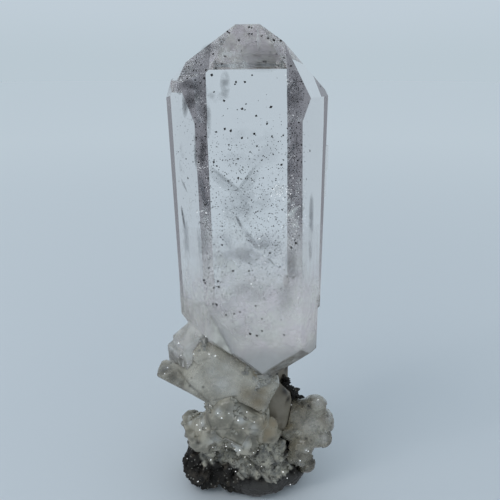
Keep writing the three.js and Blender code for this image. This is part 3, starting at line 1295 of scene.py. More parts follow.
@dataclass
class ClearHead(Part):
    """The clear scepter crystal, with the milk, the grains and the veils inside its head.

    Attributes:
        foot: Height above which all corners of the clear body are the head's own.
        heart: A point low inside the head.
        slack: How far a corner may stand out of one of the head's faces.
        least_face: Area of the smallest face that counts, in square metres.
        bevel: Width of the worn edges.
        veils: How far each veil of milk reaches from the axis to the faces, as shares.
        milk_top: Height at which the veils are cut off.
        milk_floor: Height of the outermost veil's lower end.
        milk_rise: How much higher a veil at the axis would end.
        fine_grains: Number of fine grains spread behind the front face.
        fine_width: Their middling width.
        fine_spread: Spread of the logarithm of their widths.
        fine_skin: How far inside they stay.
        layer: Depth behind the front face that holds them.
        dense: Heights between which most of them lie.
        thinner: How many fewer lie above that, to the right and to the left, as shares.
        right_side: Distances to the right over which they thin out.
        left_side: The same to the left.
        milk_row: Row of pixels below which the larger grains lie right under the face.
        marked_grains: The larger grains' pixels.
        marked_widths: Their widths, in mm, as all of these.
        marked_depths: Their depths.
        milk_depths: Their depths in the milk.
        dust: Swarms of the finest grains: middle and spread in x and y, in pixels, and number.
        dust_widths: Their widths.
        dust_depths: Their depths.
        dust_skin: How far inside they stay.
        films: Thin films: x, y, half widths along and across, turn in degrees, and cover.
        film_depths: Their depths.
        flecks: Pixels of the brightest flecks.
        fleck_swarms: Swarms of fainter flecks, in the form of dust.
        loose_flecks: Two corners of the part with loose flecks, in pixels, and their number.
        fleck_widths: Widths of the faint flecks.
        fleck_depths: Depths of the flecks.
        fleck_gain: How many times wider the brightest flecks are.
        glass: The clear body.
        planes: The head's faces: outward normals, and distances from the origin.
    """

    foot: float = 31 * MM
    heart: tuple[float, float, float] = (0, 0, 25 * MM)
    slack: float = 0.02 * MM
    least_face: float = MM**2
    bevel: float = 0.09 * MM
    veils: tuple = (0.93, 0.78, 0.6, 0.4, 0.2)
    milk_top: float = 44 * MM
    milk_floor: float = 24.5 * MM
    milk_rise: float = 4 * MM
    fine_grains: int = 2000
    fine_width: float = 0.13 * MM
    fine_spread: float = 0.35
    fine_skin: float = 0.25 * MM
    layer: float = 3.6 * MM
    dense: Span = (40 * MM, 59 * MM)
    thinner: tuple[float, float, float] = (0.82, 0.7, 0.5)
    right_side: Span = (5 * MM, 8 * MM)
    left_side: Span = (5.5 * MM, 7 * MM)
    milk_row: float = 225
    marked_widths: Span = (0.32, 0.5)
    marked_depths: Span = (0.25, 1.8)
    milk_depths: Span = (0.2, 0.4)
    dust_widths: Span = (0.07, 0.2)
    dust_depths: Span = (0.3, 2.5)
    dust_skin: float = 0.2 * MM
    film_depths: Span = (0.8, 2.4)
    fleck_widths: Span = (0.07, 0.17)
    fleck_depths: Span = (0.6, 3.5)
    fleck_gain: float = 1.9
    marked_grains: tuple = (
        (222, 64), (216, 68), (201, 65), (252, 75), (236, 82), (235, 84), (245, 82), (214, 92),
        (224, 101), (246, 104), (242, 109), (271, 107), (256, 116), (267, 124), (231, 131),
        (225, 129), (216, 132), (254, 134), (272, 136), (242, 138), (229, 145), (257, 146),
        (250, 152), (238, 159), (214, 162), (238, 178), (228, 181), (296, 243), (218, 281),
        (204, 280), (216, 304), (240, 312), (256, 306), (262, 319), (281, 320), (250, 334),
        (257, 336), (222, 245), (219, 287), (214, 288), (213, 304), (217, 305), (262, 331),
        (284, 335), (295, 240), (270, 253), (233, 271), (249, 271), (205, 283), (203, 314),
        (209, 268), (234, 314), (226, 315), (310, 319), (310, 151), (186, 159), (193, 162),
        (188, 178), (249, 34), (239, 40), (256, 42), (241, 51), (213, 43), (221, 42), (213, 54),
        (225, 56), (264, 61), (266, 62), (270, 52), (277, 54), (268, 38), (274, 40), (262, 36),
        (281, 41), (284, 58), (291, 66), (229, 33), (206, 70), (212, 75), (252, 34),
    )
    dust: tuple = (
        (270, 250, 18, 24, 220), (216, 272, 9, 22, 150), (255, 300, 30, 20, 170),
        (183, 118, 6, 22, 70), (185, 220, 6, 50, 80), (240, 205, 22, 18, 90), (272, 55, 9, 10, 30),
    )
    films: tuple = (
        # Dark films: partly smudges, partly painted shade, such as on the dark left shoulder.
        (Film("dark_film", (0.03, 0.03, 0.035, 1), 0.0, 1.6, 0.28), (
            (192, 96, 7, 19, -20, 0.5), (187, 84, 8, 6, 0, 0.35), (201, 106, 6, 13, 0, 0.25),
            (199, 90, 8, 8, 0, 0.2),
            (225, 84, 5, 14, 0, 0.3), (183, 217, 2.5, 12, 12, 0.6), (202, 152, 4, 17, 0, 0.5),
            (212, 50, 11, 8, 0, 0.3), (244, 255, 17, 8, -10, 0.24), (216, 97, 12, 6, 0, 0.2),
            (291, 262, 6, 16, 0, 0.25), (207, 118, 4, 16, 0, 0.3), (294, 95, 7, 12, 0, 0.25),
            (184, 185, 9, 2, -48, 0.3), (250, 238, 16, 3, -55, 0.16),
        )),
        (Film("phantom_film", (0.16, 0.18, 0.19, 1), 0.0, 3.0, 0.1), (
            (225, 179, 20, 2.2, -40, 0.24), (247, 178, 16, 2.2, 53, 0.2),
            (222, 182, 18, 5, -40, 0.14), (250, 182, 14, 5, 53, 0.12), (262, 57, 24, 16, 0, 0.2),
        )),
        # Pale healed cracks, which give out painted light.
        (Film("pale_film", (0.9, 0.92, 0.91, 1), 0.12), (
            (233, 60, 17, 9, -36, 0.6), (258, 38, 0.7, 13, 2, 0.9), (236, 222, 20, 15, 25, 0.25),
            (262, 283, 16, 9, 0, 0.6), (232, 272, 14, 16, 30, 0.6), (291, 214, 11, 2.5, 48, 0.8),
            (297, 226, 8, 1.5, -25, 0.8), (287, 204, 7, 1.2, 62, 0.9), (219, 262, 8, 20, 12, 0.45),
            (186, 270, 7, 26, 0, 0.3), (311, 250, 4, 22, 0, 0.3), (202, 211, 3, 0.8, 20, 0.9),
            (278, 190, 8, 7, 0, 0.35), (190, 210, 5, 14, -8, 0.3), (240, 244, 9, 13, 20, 0.25),
        )),
        (Film("smoke_film", (0.17, 0.18, 0.20, 1), 0.0, 2.6), (
            (239, 222, 1.5, 7, 25, 0.5), (270, 260, 9, 1.2, -50, 0.28), (250, 150, 30, 22, 0, 0.12),
            (250, 292, 24, 12, 0, 0.2), (222, 306, 18, 14, 0, 0.16), (284, 300, 12, 22, 0, 0.16),
            (245, 205, 26, 20, 0, 0.2), (183, 165, 8, 22, 0, 0.24), (262, 250, 22, 16, 20, 0.3),
            (222, 250, 12, 18, 0, 0.22), (186, 240, 7, 30, 0, 0.25), (311, 225, 5, 40, 0, 0.4),
            (250, 330, 40, 18, 0, 0.2), (293, 275, 7, 14, 0, 0.3), (205, 250, 5, 30, 0, 0.2),
        )),
    )
    flecks: tuple = (
        (202, 211), (206, 213), (203, 338), (288, 196), (284, 200), (292, 205), (286, 75),
        (287, 80), (287.5, 84), (297, 325), (295, 331), (194, 57), (232, 26), (177, 80), (251, 284),
        (253, 287), (264, 256), (282, 36),
    )
    fleck_swarms: tuple = ((281, 191, 6, 5, 70), (293, 216, 5, 9, 40))
    loose_flecks: tuple = ((212, 180), (302, 330), 60)
    glass: bpy.types.Object = field(init=False)
    planes: tuple[Points, Points] = field(init=False)

    def build_glass(self) -> None:
        """Makes the clear body from its CAD node, with slightly worn edges."""
        self.glass = node_copy("scepter_crystal", "clear_head")
        edge = self.glass.modifiers.new("worn_edges", "BEVEL")
        edge.width = self.bevel
        edge.segments = 2
        edge.limit_method = "ANGLE"
        edge.angle_limit = math.radians(20)
        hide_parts("scepter_crystal")
        finish(self.glass, ClearQuartz().build(self.effects))

    def find_planes(self) -> None:
        """Finds the flat faces that bound the head: those with all of its upper points inside."""
        mesh = self.glass.data
        normals = numbers_of(mesh.polygons, "normal")
        middles = numbers_of(mesh.polygons, "center")
        areas = numbers_of(mesh.polygons, "area", 1)[:, 0]
        points = numbers_of(mesh.vertices, "co")
        upper = np.vstack([points[points[:, 2] > self.foot], self.heart])
        reach = np.sum(normals * middles, axis=1)
        inside = (upper @ normals.T <= reach + self.slack).all(axis=0)
        kept = inside & (areas > self.least_face)
        self.planes = normals[kept], reach[kept]

    def outside(self, points: Points) -> Points:
        """Returns how far points stand out of the head: under 0 inside it."""
        normals, reach = self.planes
        return (points @ normals.T - reach).max(axis=1)

    def build_milk(self) -> None:
        """Makes the veils of milk: the head's lower part, drawn in towards its axis by shares."""
        core = node_copy("scepter_crystal", "milk_core", self.milk_top)
        points = numbers_of(core.data.vertices, "co")
        faces = [list(face.vertices) for face in core.data.polygons]
        bpy.data.objects.remove(core)
        stem = self.outside(points) > 0.1 * MM
        middle = points[~stem].mean(axis=0)
        all_points, all_faces = [], []
        for share in self.veils:
            shell = points.copy()
            shell[:, :2] = middle[:2] + (shell[:, :2] - middle[:2]) * share
            floor = self.milk_floor + self.milk_rise * (1 - share)
            shell[:, 2] = np.maximum(shell[:, 2], floor)
            all_faces += [np.add(face, len(all_points) * len(points)) for face in faces]
            all_points.append(shell)
        milk = new_piece("milk_veils", np.vstack(all_points), all_faces)
        finish(milk, Milk().build(self.effects))

    def build_grains(self) -> None:
        """Spreads fine dark grains behind the front face and adds the larger, marked ones."""
        rng = np.random.default_rng(self.seed)
        low, high = (np.array(corner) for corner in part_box("scepter_crystal"))
        high[1] = low[1] + self.layer
        places = rng.uniform(low, high, (self.fine_grains * 4, 3))
        x, _, z = places.T
        above, right, left = self.thinner
        share = ramp(z, self.dense[0] - 6 * MM, self.dense[0])
        share *= 1 - above * ramp(z, self.dense[1], self.dense[1] + MM)
        share *= 1 - right * ramp(x, *self.right_side)
        share *= 1 - left * ramp(-x, *self.left_side)
        kept = (self.outside(places) < -self.fine_skin) & (rng.random(len(places)) < share)
        places = places[kept][: self.fine_grains]
        sizes = np.exp(rng.normal(math.log(self.fine_width / MM), self.fine_spread, len(places))) * MM
        deep = rng.uniform(*self.marked_depths, len(self.marked_grains))
        in_milk = np.array(self.marked_grains)[:, 1] > self.milk_row
        deep[in_milk] = rng.uniform(*self.milk_depths, in_milk.sum())
        marked, _ = self.under(self.marked_grains, deep)
        big = rng.uniform(*self.marked_widths, len(marked)) * MM
        swarm = self.swarms(rng, self.dust)
        swarm, _ = self.under(swarm, rng.uniform(*self.dust_depths, len(swarm)))
        swarm = swarm[np.isfinite(swarm[:, 0])]
        swarm = swarm[self.outside(swarm) < -self.dust_skin]
        tiny = rng.uniform(*self.dust_widths, len(swarm)) * MM
        places = np.vstack([places, marked, swarm])
        points, faces = specks(places, np.concatenate([sizes, big, tiny]), self.seed)
        grains = new_piece("dark_grains", points, faces)
        ink = Plain("dark_grain", (0.02, 0.018, 0.016, 1), (0.008, 0.007, 0.006, 1), 0.5)
        finish(grains, ink.build(self.effects))

    def swarms(self, rng: np.random.Generator, rows: tuple) -> Points:
        """Draws the pixels of swarms: normal spreads round their middles.

        Args:
            rng: The source of random numbers.
            rows: Middle and spread in x and y, in pixels, and number.

        Returns:
            Rows of x and y, in pixels.
        """
        return np.vstack([rng.normal(row[:2], row[2:4], (row[4], 2)) for row in rows])

    def under(self, pixels: tuple, depths: Points) -> tuple[Points, Points]:
        """Finds points inside the quartz that the camera sees at pixels of the photograph.

        By Snell's law the bent ray is the ray over the index, plus the normal times (c / index -
        the cosine inside), where c is the cosine outside.

        Args:
            pixels: Rows of x and y.
            depths: How far each lies behind the face in front of it, in mm.

        Returns:
            Rows of points, and of unit vectors along the bent rays: not-a-number where a pixel
            misses the crystal.
        """
        hits, normals = np.split(self.camera.seen(pixels, self.glass), 2, axis=1)
        rays = unit(hits - self.camera.place())
        ratio = 1 / ClearQuartz.index
        facing = -np.sum(rays * normals, axis=1, keepdims=True)
        inner = np.sqrt(1 - ratio**2 * (1 - facing**2))
        rays = ratio * rays + (ratio * facing - inner) * normals
        return hits + rays * np.reshape(depths, (-1, 1)) * MM, rays

    def build_films(self) -> None:
        """Makes the thin films: pale healed cracks, dark films that are partly smudges and partly
        painted shade where the faces look dark, and the lines of a phantom.
        """
        rng = np.random.default_rng(self.seed + 1)
        pixel = self.camera.pixel()
        for look, rows in self.films:
            table = np.array(rows, float)
            centres, rays = self.under(table[:, :2], rng.uniform(*self.film_depths, len(table)))
            right = unit(np.cross(rays, (0, 0, 1)))
            above = np.cross(right, rays)
            turn = np.radians(table[:, 4:5])
            across = (right * np.cos(turn) + above * np.sin(turn)) * table[:, 2:3] * pixel
            up = (above * np.cos(turn) - right * np.sin(turn)) * table[:, 3:4] * pixel
            points, faces, middle = lenses(centres, across, up)
            film = new_piece(look.name, points, faces, smooth=True)
            cover = np.repeat(table[:, 5], len(points) // len(table)) * middle
            mark(film, "cover", cover)
            finish(film, look.build(self.effects))

    def build_painted_flecks(self) -> None:
        """Makes the bright flecks: small cracks painted as highlights that give out light, many of
        them in two swarms.
        """
        rng = np.random.default_rng(self.seed + 2)
        swarm = self.swarms(rng, self.fleck_swarms)
        low, high, number = self.loose_flecks
        pixels = np.vstack([self.flecks, swarm, rng.uniform(low, high, (number, 2))])
        places, _ = self.under(pixels, rng.uniform(*self.fleck_depths, len(pixels)))
        sizes = rng.uniform(*self.fleck_widths, len(pixels)) * MM
        sizes[: len(self.flecks)] *= self.fleck_gain
        met = np.isfinite(places[:, 0])
        points, faces = specks(places[met], sizes[met], self.seed)
        # Painted highlights: the flecks give out light of their own.
        look = Plain("fleck", (0.95, 0.97, 0.98, 1), (0.9, 0.92, 0.93, 1), 0.4, painted_glow=0.75)
        finish(new_piece("bright_flecks", points, faces), look.build(self.effects))

    def build(self) -> None:
        """Builds the head."""
        self.build_glass()
        self.find_planes()
        self.build_milk()
        self.build_films()
        self.build_grains()
        self.build_painted_flecks()


@dataclass
class MilkyFoot(Part):
    """The cloudy foot of the scepter: its stem, the growth on it and the small stepped crystals.

    Over the stem it is a thin skin outside the clear body, and under the head's faces it dips
    just inside them, where it is the lowest of the milk.

    Attributes:
        head: The clear head.
        voxel: Side of one face of the skin.
        proud: How far it stands out of the clear body in the open air.
        dip: How far it stands out of the head's faces, under 0 because it lies inside.
        top: Height at which it ends.
        air: Distances out of the faces over which it comes into the open air.
        step_left: Distances to the left over which the stepped crystals begin.
        step_rise: Heights over which they begin.
        step_clear: How much clearer they are, as a share.
        shaded_belly: How far the underside's faces look down, from none of its painted shade to all.
        shaded_belly_side: Distances to the right over which its painted shade sets in.
        shaded_belly_dip: How much less the skin dips there, as a share.
        shaded_belly_clouds: Clouds in its painted shade.
        waves: Unevenness of the stem.
        lift: How much higher the milk reaches on the left.
        lift_side: Distances to the left over which it rises.
        patch: Clouds that shift the milk's edge.
        fade: Heights over which the milk thins out.
        end: Heights over which its last traces end.
        tan: How strongly the whole stem is stained.
        stem_side: Distances to the right over which that stain sets in.
        stem_top: Heights over which it ends.
        stains: Marks of the darker stains.
        dark_and_shade_marks: Marks of the dark edge, partly painted shade.
    """

    head: ClearHead | None = None
    seed: int = 21
    voxel: float = 0.17 * MM
    proud: float = 0.13 * MM
    dip: float = -0.3 * MM
    top: float = 36 * MM
    air: Span = (0.02 * MM, 0.09 * MM)
    step_left: Span = (5 * MM, 6 * MM)
    step_rise: Span = (23 * MM, 24 * MM)
    step_clear: float = 0.55
    shaded_belly: Span = (0.3, 0.5)
    shaded_belly_side: Span = (0, 2 * MM)
    shaded_belly_dip: float = 0.7
    shaded_belly_clouds: Waves = Waves(1.5 * MM, 0.6, 2)
    waves: Waves = Waves(1.6 * MM, 0.07 * MM)
    lift: float = 4.2 * MM
    lift_side: Span = (1 * MM, 5 * MM)
    patch: Waves = Waves(3 * MM, MM)
    fade: Span = (25 * MM, 31 * MM)
    end: Span = (33.5 * MM, 35.6 * MM)
    tan: float = 0.9
    stem_side: Span = (0.5 * MM, 2 * MM)
    stem_top: Span = (21 * MM, 23 * MM)
    stains: tuple = (
        (281, 425, 9, 1), (277, 410, 8, 0.85), (286, 434, 7, 1), (271, 398, 8, 0.55),
        (270, 374, 4, 0.9), (290, 440, 6, 0.8), (268, 440, 6, 0.6), (284, 404, 7, 0.5),
        (279, 390, 6, 0.4),
    )
    # The dark edge, partly painted shade.
    dark_and_shade_marks: tuple = (
        (281, 380, 4, 1), (285, 391, 5, 1), (288, 399, 4, 0.9), (277, 374, 3, 1),
        (290, 412, 3, 0.4), (283, 438, 4, 0.6), (280, 370, 4, 1), (286, 368, 4, 0.9),
    )

    def build(self) -> None:
        """Builds the foot."""
        skin = Skin("scepter_crystal", "milky_foot", self.voxel, self.top)
        noise = Noise(self.seed)
        air = ramp(self.head.outside(skin.points), *self.air)
        x, _, z = skin.points.T
        steps = air * ramp(-x, *self.step_left) * ramp(z, *self.step_rise)
        waves = self.waves.at(noise, skin.points) * (1 - steps)
        # Painted shade on the faces that look down, inside the head and to the right.
        under = ramp(-skin.outward[:, 2], *self.shaded_belly) * (1 - air) * ramp(x, *self.shaded_belly_side)
        dip = self.dip * (1 - self.shaded_belly_dip * under)
        skin.move(dip + air * (self.proud - dip + waves))
        x, _, z = skin.points.T
        level = z - ramp(-x, *self.lift_side) * self.lift + self.patch.at(noise, skin.points)
        fade = (1 - ramp(level, *self.fade)) * (1 - ramp(z, *self.end))
        cover = np.maximum(air, np.maximum(fade, under)) * (1 - self.step_clear * steps)
        mark(skin.piece, "cover", cover)
        mark(skin.piece, "air", air)
        stem = ramp(x, *self.stem_side) * (1 - ramp(z, *self.stem_top)) * self.tan
        mark(skin.piece, "stain", air * np.maximum(stem, skin.spots(self.camera, self.stains)))
        mark(skin.piece, "dark", air * skin.spots(self.camera, self.dark_and_shade_marks))
        # Stores the painted shade of the underside.
        mark(skin.piece, "under", under * (0.8 + self.shaded_belly_clouds.at(noise, skin.points)))
        finish(skin.piece, FootQuartz().build(self.effects))


@dataclass(frozen=True)
class FootQuartz(Frosted):
    """The cloudy quartz of the foot, see-through where the mesh marks little cover.

    Attributes:
        pale: Colour of the lighter clouds in the open air.
        grey: Colour of the darker clouds in the open air.
        stain: Colour of the iron-stained stem.
        dark: Colour of its dark edge, partly painted shade.
        milk: Colour of the part just inside the head.
        under: Colour of the head's underside, painted shade on the faces that look down.
        painted_glow: Painted light that the milk gives out though no lamp lights it, as a share of
            its colour.
        matt: How much rougher the stains are, which have no coat.
    """

    name: str = "milky_foot"
    pale: Colour = (0.68, 0.65, 0.59, 1)
    grey: Colour = (0.46, 0.435, 0.39, 1)
    stain: Colour = (0.19, 0.155, 0.108, 1)
    dark: Colour = (0.03, 0.026, 0.02, 1)
    milk: Colour = (0.77, 0.765, 0.755, 1)
    under: Colour = (0.27, 0.25, 0.215, 1)
    painted_glow: float = 0.05
    clouds: float = 1.8
    roughness: float = 0.22
    matt: float = 0.35
    flats: float = 0.9
    relief: float = 0.03

    def paint(self, nodes: Nodes, effects: Effects) -> None:
        """Fills the material's node tree."""
        place = nodes.place_mm()
        use = effects.use
        cloud = use(nodes, effects.mottle, place, pitch=self.clouds, low=0.38, high=0.62)
        colour = nodes.blend(cloud, self.grey, self.pale)
        air = nodes.attribute("air")
        colour = nodes.blend(air, self.milk, colour)
        stained = nodes.attribute("stain")
        colour = nodes.blend(stained, colour, self.stain)
        # The dark edge, partly painted shade.
        colour = nodes.blend(nodes.attribute("dark"), colour, self.dark)
        # Painted shade on the head's underside.
        colour = nodes.blend(nodes.attribute("under"), colour, self.under)
        flats = use(nodes, effects.facets, place, pitch=self.flats)
        nodes.surface({
            "Base Color": colour,
            "Roughness": nodes.math("MULTIPLY_ADD", stained, self.matt, self.roughness),
            "Coat Weight": nodes.math("MULTIPLY_ADD", stained, -self.gloss, self.gloss),
            "Coat Roughness": self.gloss_roughness,
            "Alpha": nodes.attribute("cover"),
            # Painted light: the milk inside the head gives out its colour.
            "Emission Color": self.milk,
            "Emission Strength": nodes.math("MULTIPLY_ADD", air, -self.painted_glow, self.painted_glow),
            "Normal": nodes.bump(flats, self.relief),
        })


@dataclass
class Cluster(Part):
    """A piece of the cluster at the foot: a fine skin with marks placed by the photograph.

    Attributes:
        voxel: Side of one face of the skin.
        grow: How far the skin stands out of its CAD node.
        stains: Marks of its stains.
        dark_and_shade_marks: Marks of its dark parts and of its painted shade.
        whites_and_highlights: Marks of its whitest parts and of its painted highlights.
        lines: Painted shade in the dark lines between crystals: rows of two ends, half the width and
            strength.
        waves: The unevenness of the skin.
        look: The skin's finish.
        crop: The small crystals on it.
        loose: Their finish.
    """

    seed: int = 31
    voxel: float = 0.12 * MM
    grow: float = 0.18 * MM
    waves: Waves = Waves(2.2 * MM, 0.07 * MM)
    look: CloudyQuartz = CloudyQuartz("cloudy_quartz")
    crop: Crop = Crop(40, 0.9 * MM, 0.5, 32)
    loose: CloudyQuartz = CloudyQuartz("cloudy_points", marked=False)
    stains: tuple = ()
    dark_and_shade_marks: tuple = ()
    whites_and_highlights: tuple = ()
    lines: tuple = ()

    def dotted_shade_lines(self) -> list:
        """Turns the lines of painted shade into rows of x, y, radius and strength, one radius apart.
        """
        rows = []
        for x0, y0, x1, y1, radius, strength in self.lines:
            count = int(math.hypot(x1 - x0, y1 - y0) / radius) + 1
            steps = zip(np.linspace(x0, x1, count), np.linspace(y0, y1, count))
            rows += [(x, y, radius, strength) for x, y in steps]
        return rows

    def mark_all(self, skin: Skin, stain: object = 0) -> None:
        """Stores the stains, the dark parts with painted shade, and the whitest parts with painted
        highlights in a skin's mesh.

        Args:
            skin: The skin.
            stain: More stain, one number a point.
        """
        mark(skin.piece, "stain", np.maximum(skin.spots(self.camera, self.stains), stain))
        mark(skin.piece, "dark", skin.spots(self.camera, (*self.dark_and_shade_marks, *self.dotted_shade_lines())))
        mark(skin.piece, "white", skin.spots(self.camera, self.whites_and_highlights))

    def add_points(self, skin: Skin, slot: Slot, share: Points) -> None:
        """Grows the small crystals on a skin, as a piece of their own.

        Args:
            skin: The skin.
            slot: Their finish in the record. Not used.
            share: How likely each of the skin's points is to carry one.
        """
        points, faces = skin.grown(self.crop, share)
        finish(new_piece(self.loose.name, points, faces), self.loose.build(self.effects))


@dataclass
class Blade(Cluster):
    """The milky blade across the foot of the head.

    Attributes:
        growth: Marks of where small crystals grow on it.
    """

    grow: float = 0.2 * MM
    look: CloudyQuartz = CloudyQuartz(
        "milky_quartz", pale=(0.77, 0.72, 0.62, 1), grey=(0.57, 0.525, 0.44, 1), clarity=0.4,
        stain=(0.36, 0.28, 0.17, 1), roughness=0.05, grit=1.6, flats=1.8, relief=0.06,
    )
    loose: CloudyQuartz = CloudyQuartz(
        "milky_points", pale=(0.78, 0.76, 0.70, 1), grey=(0.5, 0.48, 0.44, 1), clarity=0.6,
        roughness=0.0, grit=2.5, flats=3, marked=False,
    )
    growth: tuple = ((203, 343, 5, 0.6), (260, 382, 6, 1), (246, 372, 5, 0.5))
    stains: tuple = (
        (246, 394, 10, 0.6), (258, 402, 10, 0.85), (262, 392, 8, 0.7), (256, 374, 4, 0.9),
        (266, 410, 8, 0.9), (240, 406, 8, 0.5), (268, 396, 6, 0.5),
    )
    # Painted shade on the dark tip, in the seams and in dark patches.
    dark_and_shade_marks: tuple = (
        (164, 370, 8, 0.8), (173, 377, 7, 0.7), (182, 384, 6, 0.5), (190, 386, 1.3, 1),
        (203, 387, 1.3, 1), (206, 345, 5, 0.5), (198, 395, 5, 0.3), (206, 401, 5, 0.35),
        (256, 396, 6, 0.25), (250, 364, 4, 0.25), (234, 356, 4, 0.2), (268, 404, 5, 0.3),
    )
    # Whitest parts and painted highlights, such as on the tip and at the sparkles near the right end.
    whites_and_highlights: tuple = (
        (222, 384, 10, 0.5), (234, 392, 6, 0.4), (212, 372, 7, 0.3), (258, 380, 4, 0.7),
        (167, 368, 1.6, 1), (213, 356, 5, 0.3), (262, 376, 2, 0.8), (226, 366, 8, 0.25),
    )
    # Painted shade between the crystals.
    lines: tuple = (
        (178, 370, 190, 385, 1.1, 0.6), (190, 385, 209, 402, 1.2, 0.6),
        (170, 381, 205, 403, 1.0, 0.5), (186, 369, 196, 362, 0.9, 0.35),
        (196, 362, 211, 358, 0.9, 0.3), (209, 338, 248, 362, 1.0, 0.3),
        (214, 400, 236, 396, 1.1, 0.5), (161, 364, 172, 368, 0.9, 0.4),
    )

    def build(self) -> None:
        """Builds the blade."""
        skin = Skin("blade_crystals", "milky_blade", self.voxel)
        skin.move(self.grow + self.waves.at(Noise(self.seed), skin.points))
        self.mark_all(skin)
        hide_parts("blade_crystals")
        finish(skin.piece, self.look.build(self.effects))
        self.add_points(skin, Slot.MILKY, skin.spots(self.camera, self.growth))


@dataclass
class Shelf(Cluster):
    """The drusy crystals at the front left of the foot.

    Attributes:
        soften: How many times the skin is smoothed.
        flats: The broad facets.
        front: Distances before the axis over which the skin is pulled back.
        pull: How far.
        patch: Where the small crystals stand, where the noise is high.
        patch_edge: How high it is at their edge.
        stray: How likely a crystal is elsewhere.
        lens: Marks of the yellowish crystal.
        lens_edge: The strengths over which its smooth skin sets in.
    """

    grow: float = 0.38 * MM
    waves: Waves = Waves(1.6 * MM, 0.04 * MM, 2)
    seed: int = 41
    look: CloudyQuartz = CloudyQuartz(
        "drusy_quartz", pale=(0.67, 0.61, 0.495, 1), grey=(0.375, 0.345, 0.275, 1), clarity=0.35,
        stain=(0.46, 0.37, 0.245, 1), roughness=0.02, flats=1.1, relief=0.04, clouds=1.5,
    )
    crop: Crop = Crop(130, 0.9 * MM, 0.6, 42)
    loose: CloudyQuartz = CloudyQuartz(
        "drusy_points", pale=(0.74, 0.70, 0.60, 1), grey=(0.35, 0.33, 0.28, 1), clarity=0.5,
        clouds=0.9, roughness=0.0, grit=1.5, flats=3, marked=False,
    )
    soften: int = 4
    flats: Flats = Flats(3.0 * MM, -0.8 * MM, 0.15 * MM, 43)
    front: Span = (9.3 * MM, 10.1 * MM)
    pull: float = 0.35 * MM
    patch: Waves = Waves(2.5 * MM, 1, 2, 20 * MM)
    patch_edge: Span = (0.05, 0.3)
    stray: float = 0.003
    lens_edge: Span = (0.05, 0.35)
    lens: tuple = ((263, 424, 6, 0.9), (268, 432, 8, 1), (264, 437, 6, 0.9), (272, 424, 6, 1))
    # Painted shade, such as the face in shade below the top crystal, with some dark parts.
    dark_and_shade_marks: tuple = (
        (240, 434, 7, 0.45), (247, 438, 5, 0.4), (208, 416, 5, 0.3), (184, 430, 4, 0.4),
        (222, 428, 6, 0.25), (276, 412, 4, 0.5), (228, 408, 4, 0.2), (198, 443, 3, 0.9),
        (192, 440, 3, 0.5), (216, 434, 4, 0.3), (265.6, 419, 1.4, 0.9), (272, 440, 4, 0.5),
    )
    # Whitest parts and painted highlights on rims and rounded edges.
    whites_and_highlights: tuple = (
        (202, 424, 5, 0.7), (236, 410, 8, 0.4), (214, 440, 6, 0.5), (241, 420, 4, 0.9),
        (236, 448, 5, 0.9), (258, 452, 4, 0.6), (218, 412, 4, 0.6), (254, 428, 5, 0.5),
        (190, 422, 3, 0.7), (246, 444, 5, 0.5),
    )
    # Painted shade between the crystals.
    lines: tuple = (
        (232, 428, 258, 430, 0.9, 0.4), (212, 430, 232, 428, 0.9, 0.5), (212, 402, 206, 414, 1, 0.5),
        (206, 414, 212, 430, 0.9, 0.45), (262, 414, 264, 424, 1, 0.4), (232, 446, 226, 440, 0.9, 0.4),
    )

    def build(self) -> None:
        """Builds the crystals with a scatter of small points."""
        skin = Skin("shelf_crystals", "drusy_shelf", self.voxel, soften=self.soften)
        noise = Noise(self.seed)
        lens = skin.spots(self.camera, self.lens)
        rough = 1 - ramp(lens, *self.lens_edge)
        front = ramp(-skin.points[:, 1], *self.front) * self.pull
        uneven = self.waves.at(noise, skin.points) + skin.facets(self.flats)
        skin.move(self.grow + uneven * rough - front)
        self.mark_all(skin, stain=lens)
        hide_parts("shelf_crystals")
        finish(skin.piece, self.look.build(self.effects))
        patch = ramp(self.patch.at(noise, skin.points), *self.patch_edge)
        self.add_points(skin, Slot.DRUSY, (patch + self.stray) * (rough > 0.9))


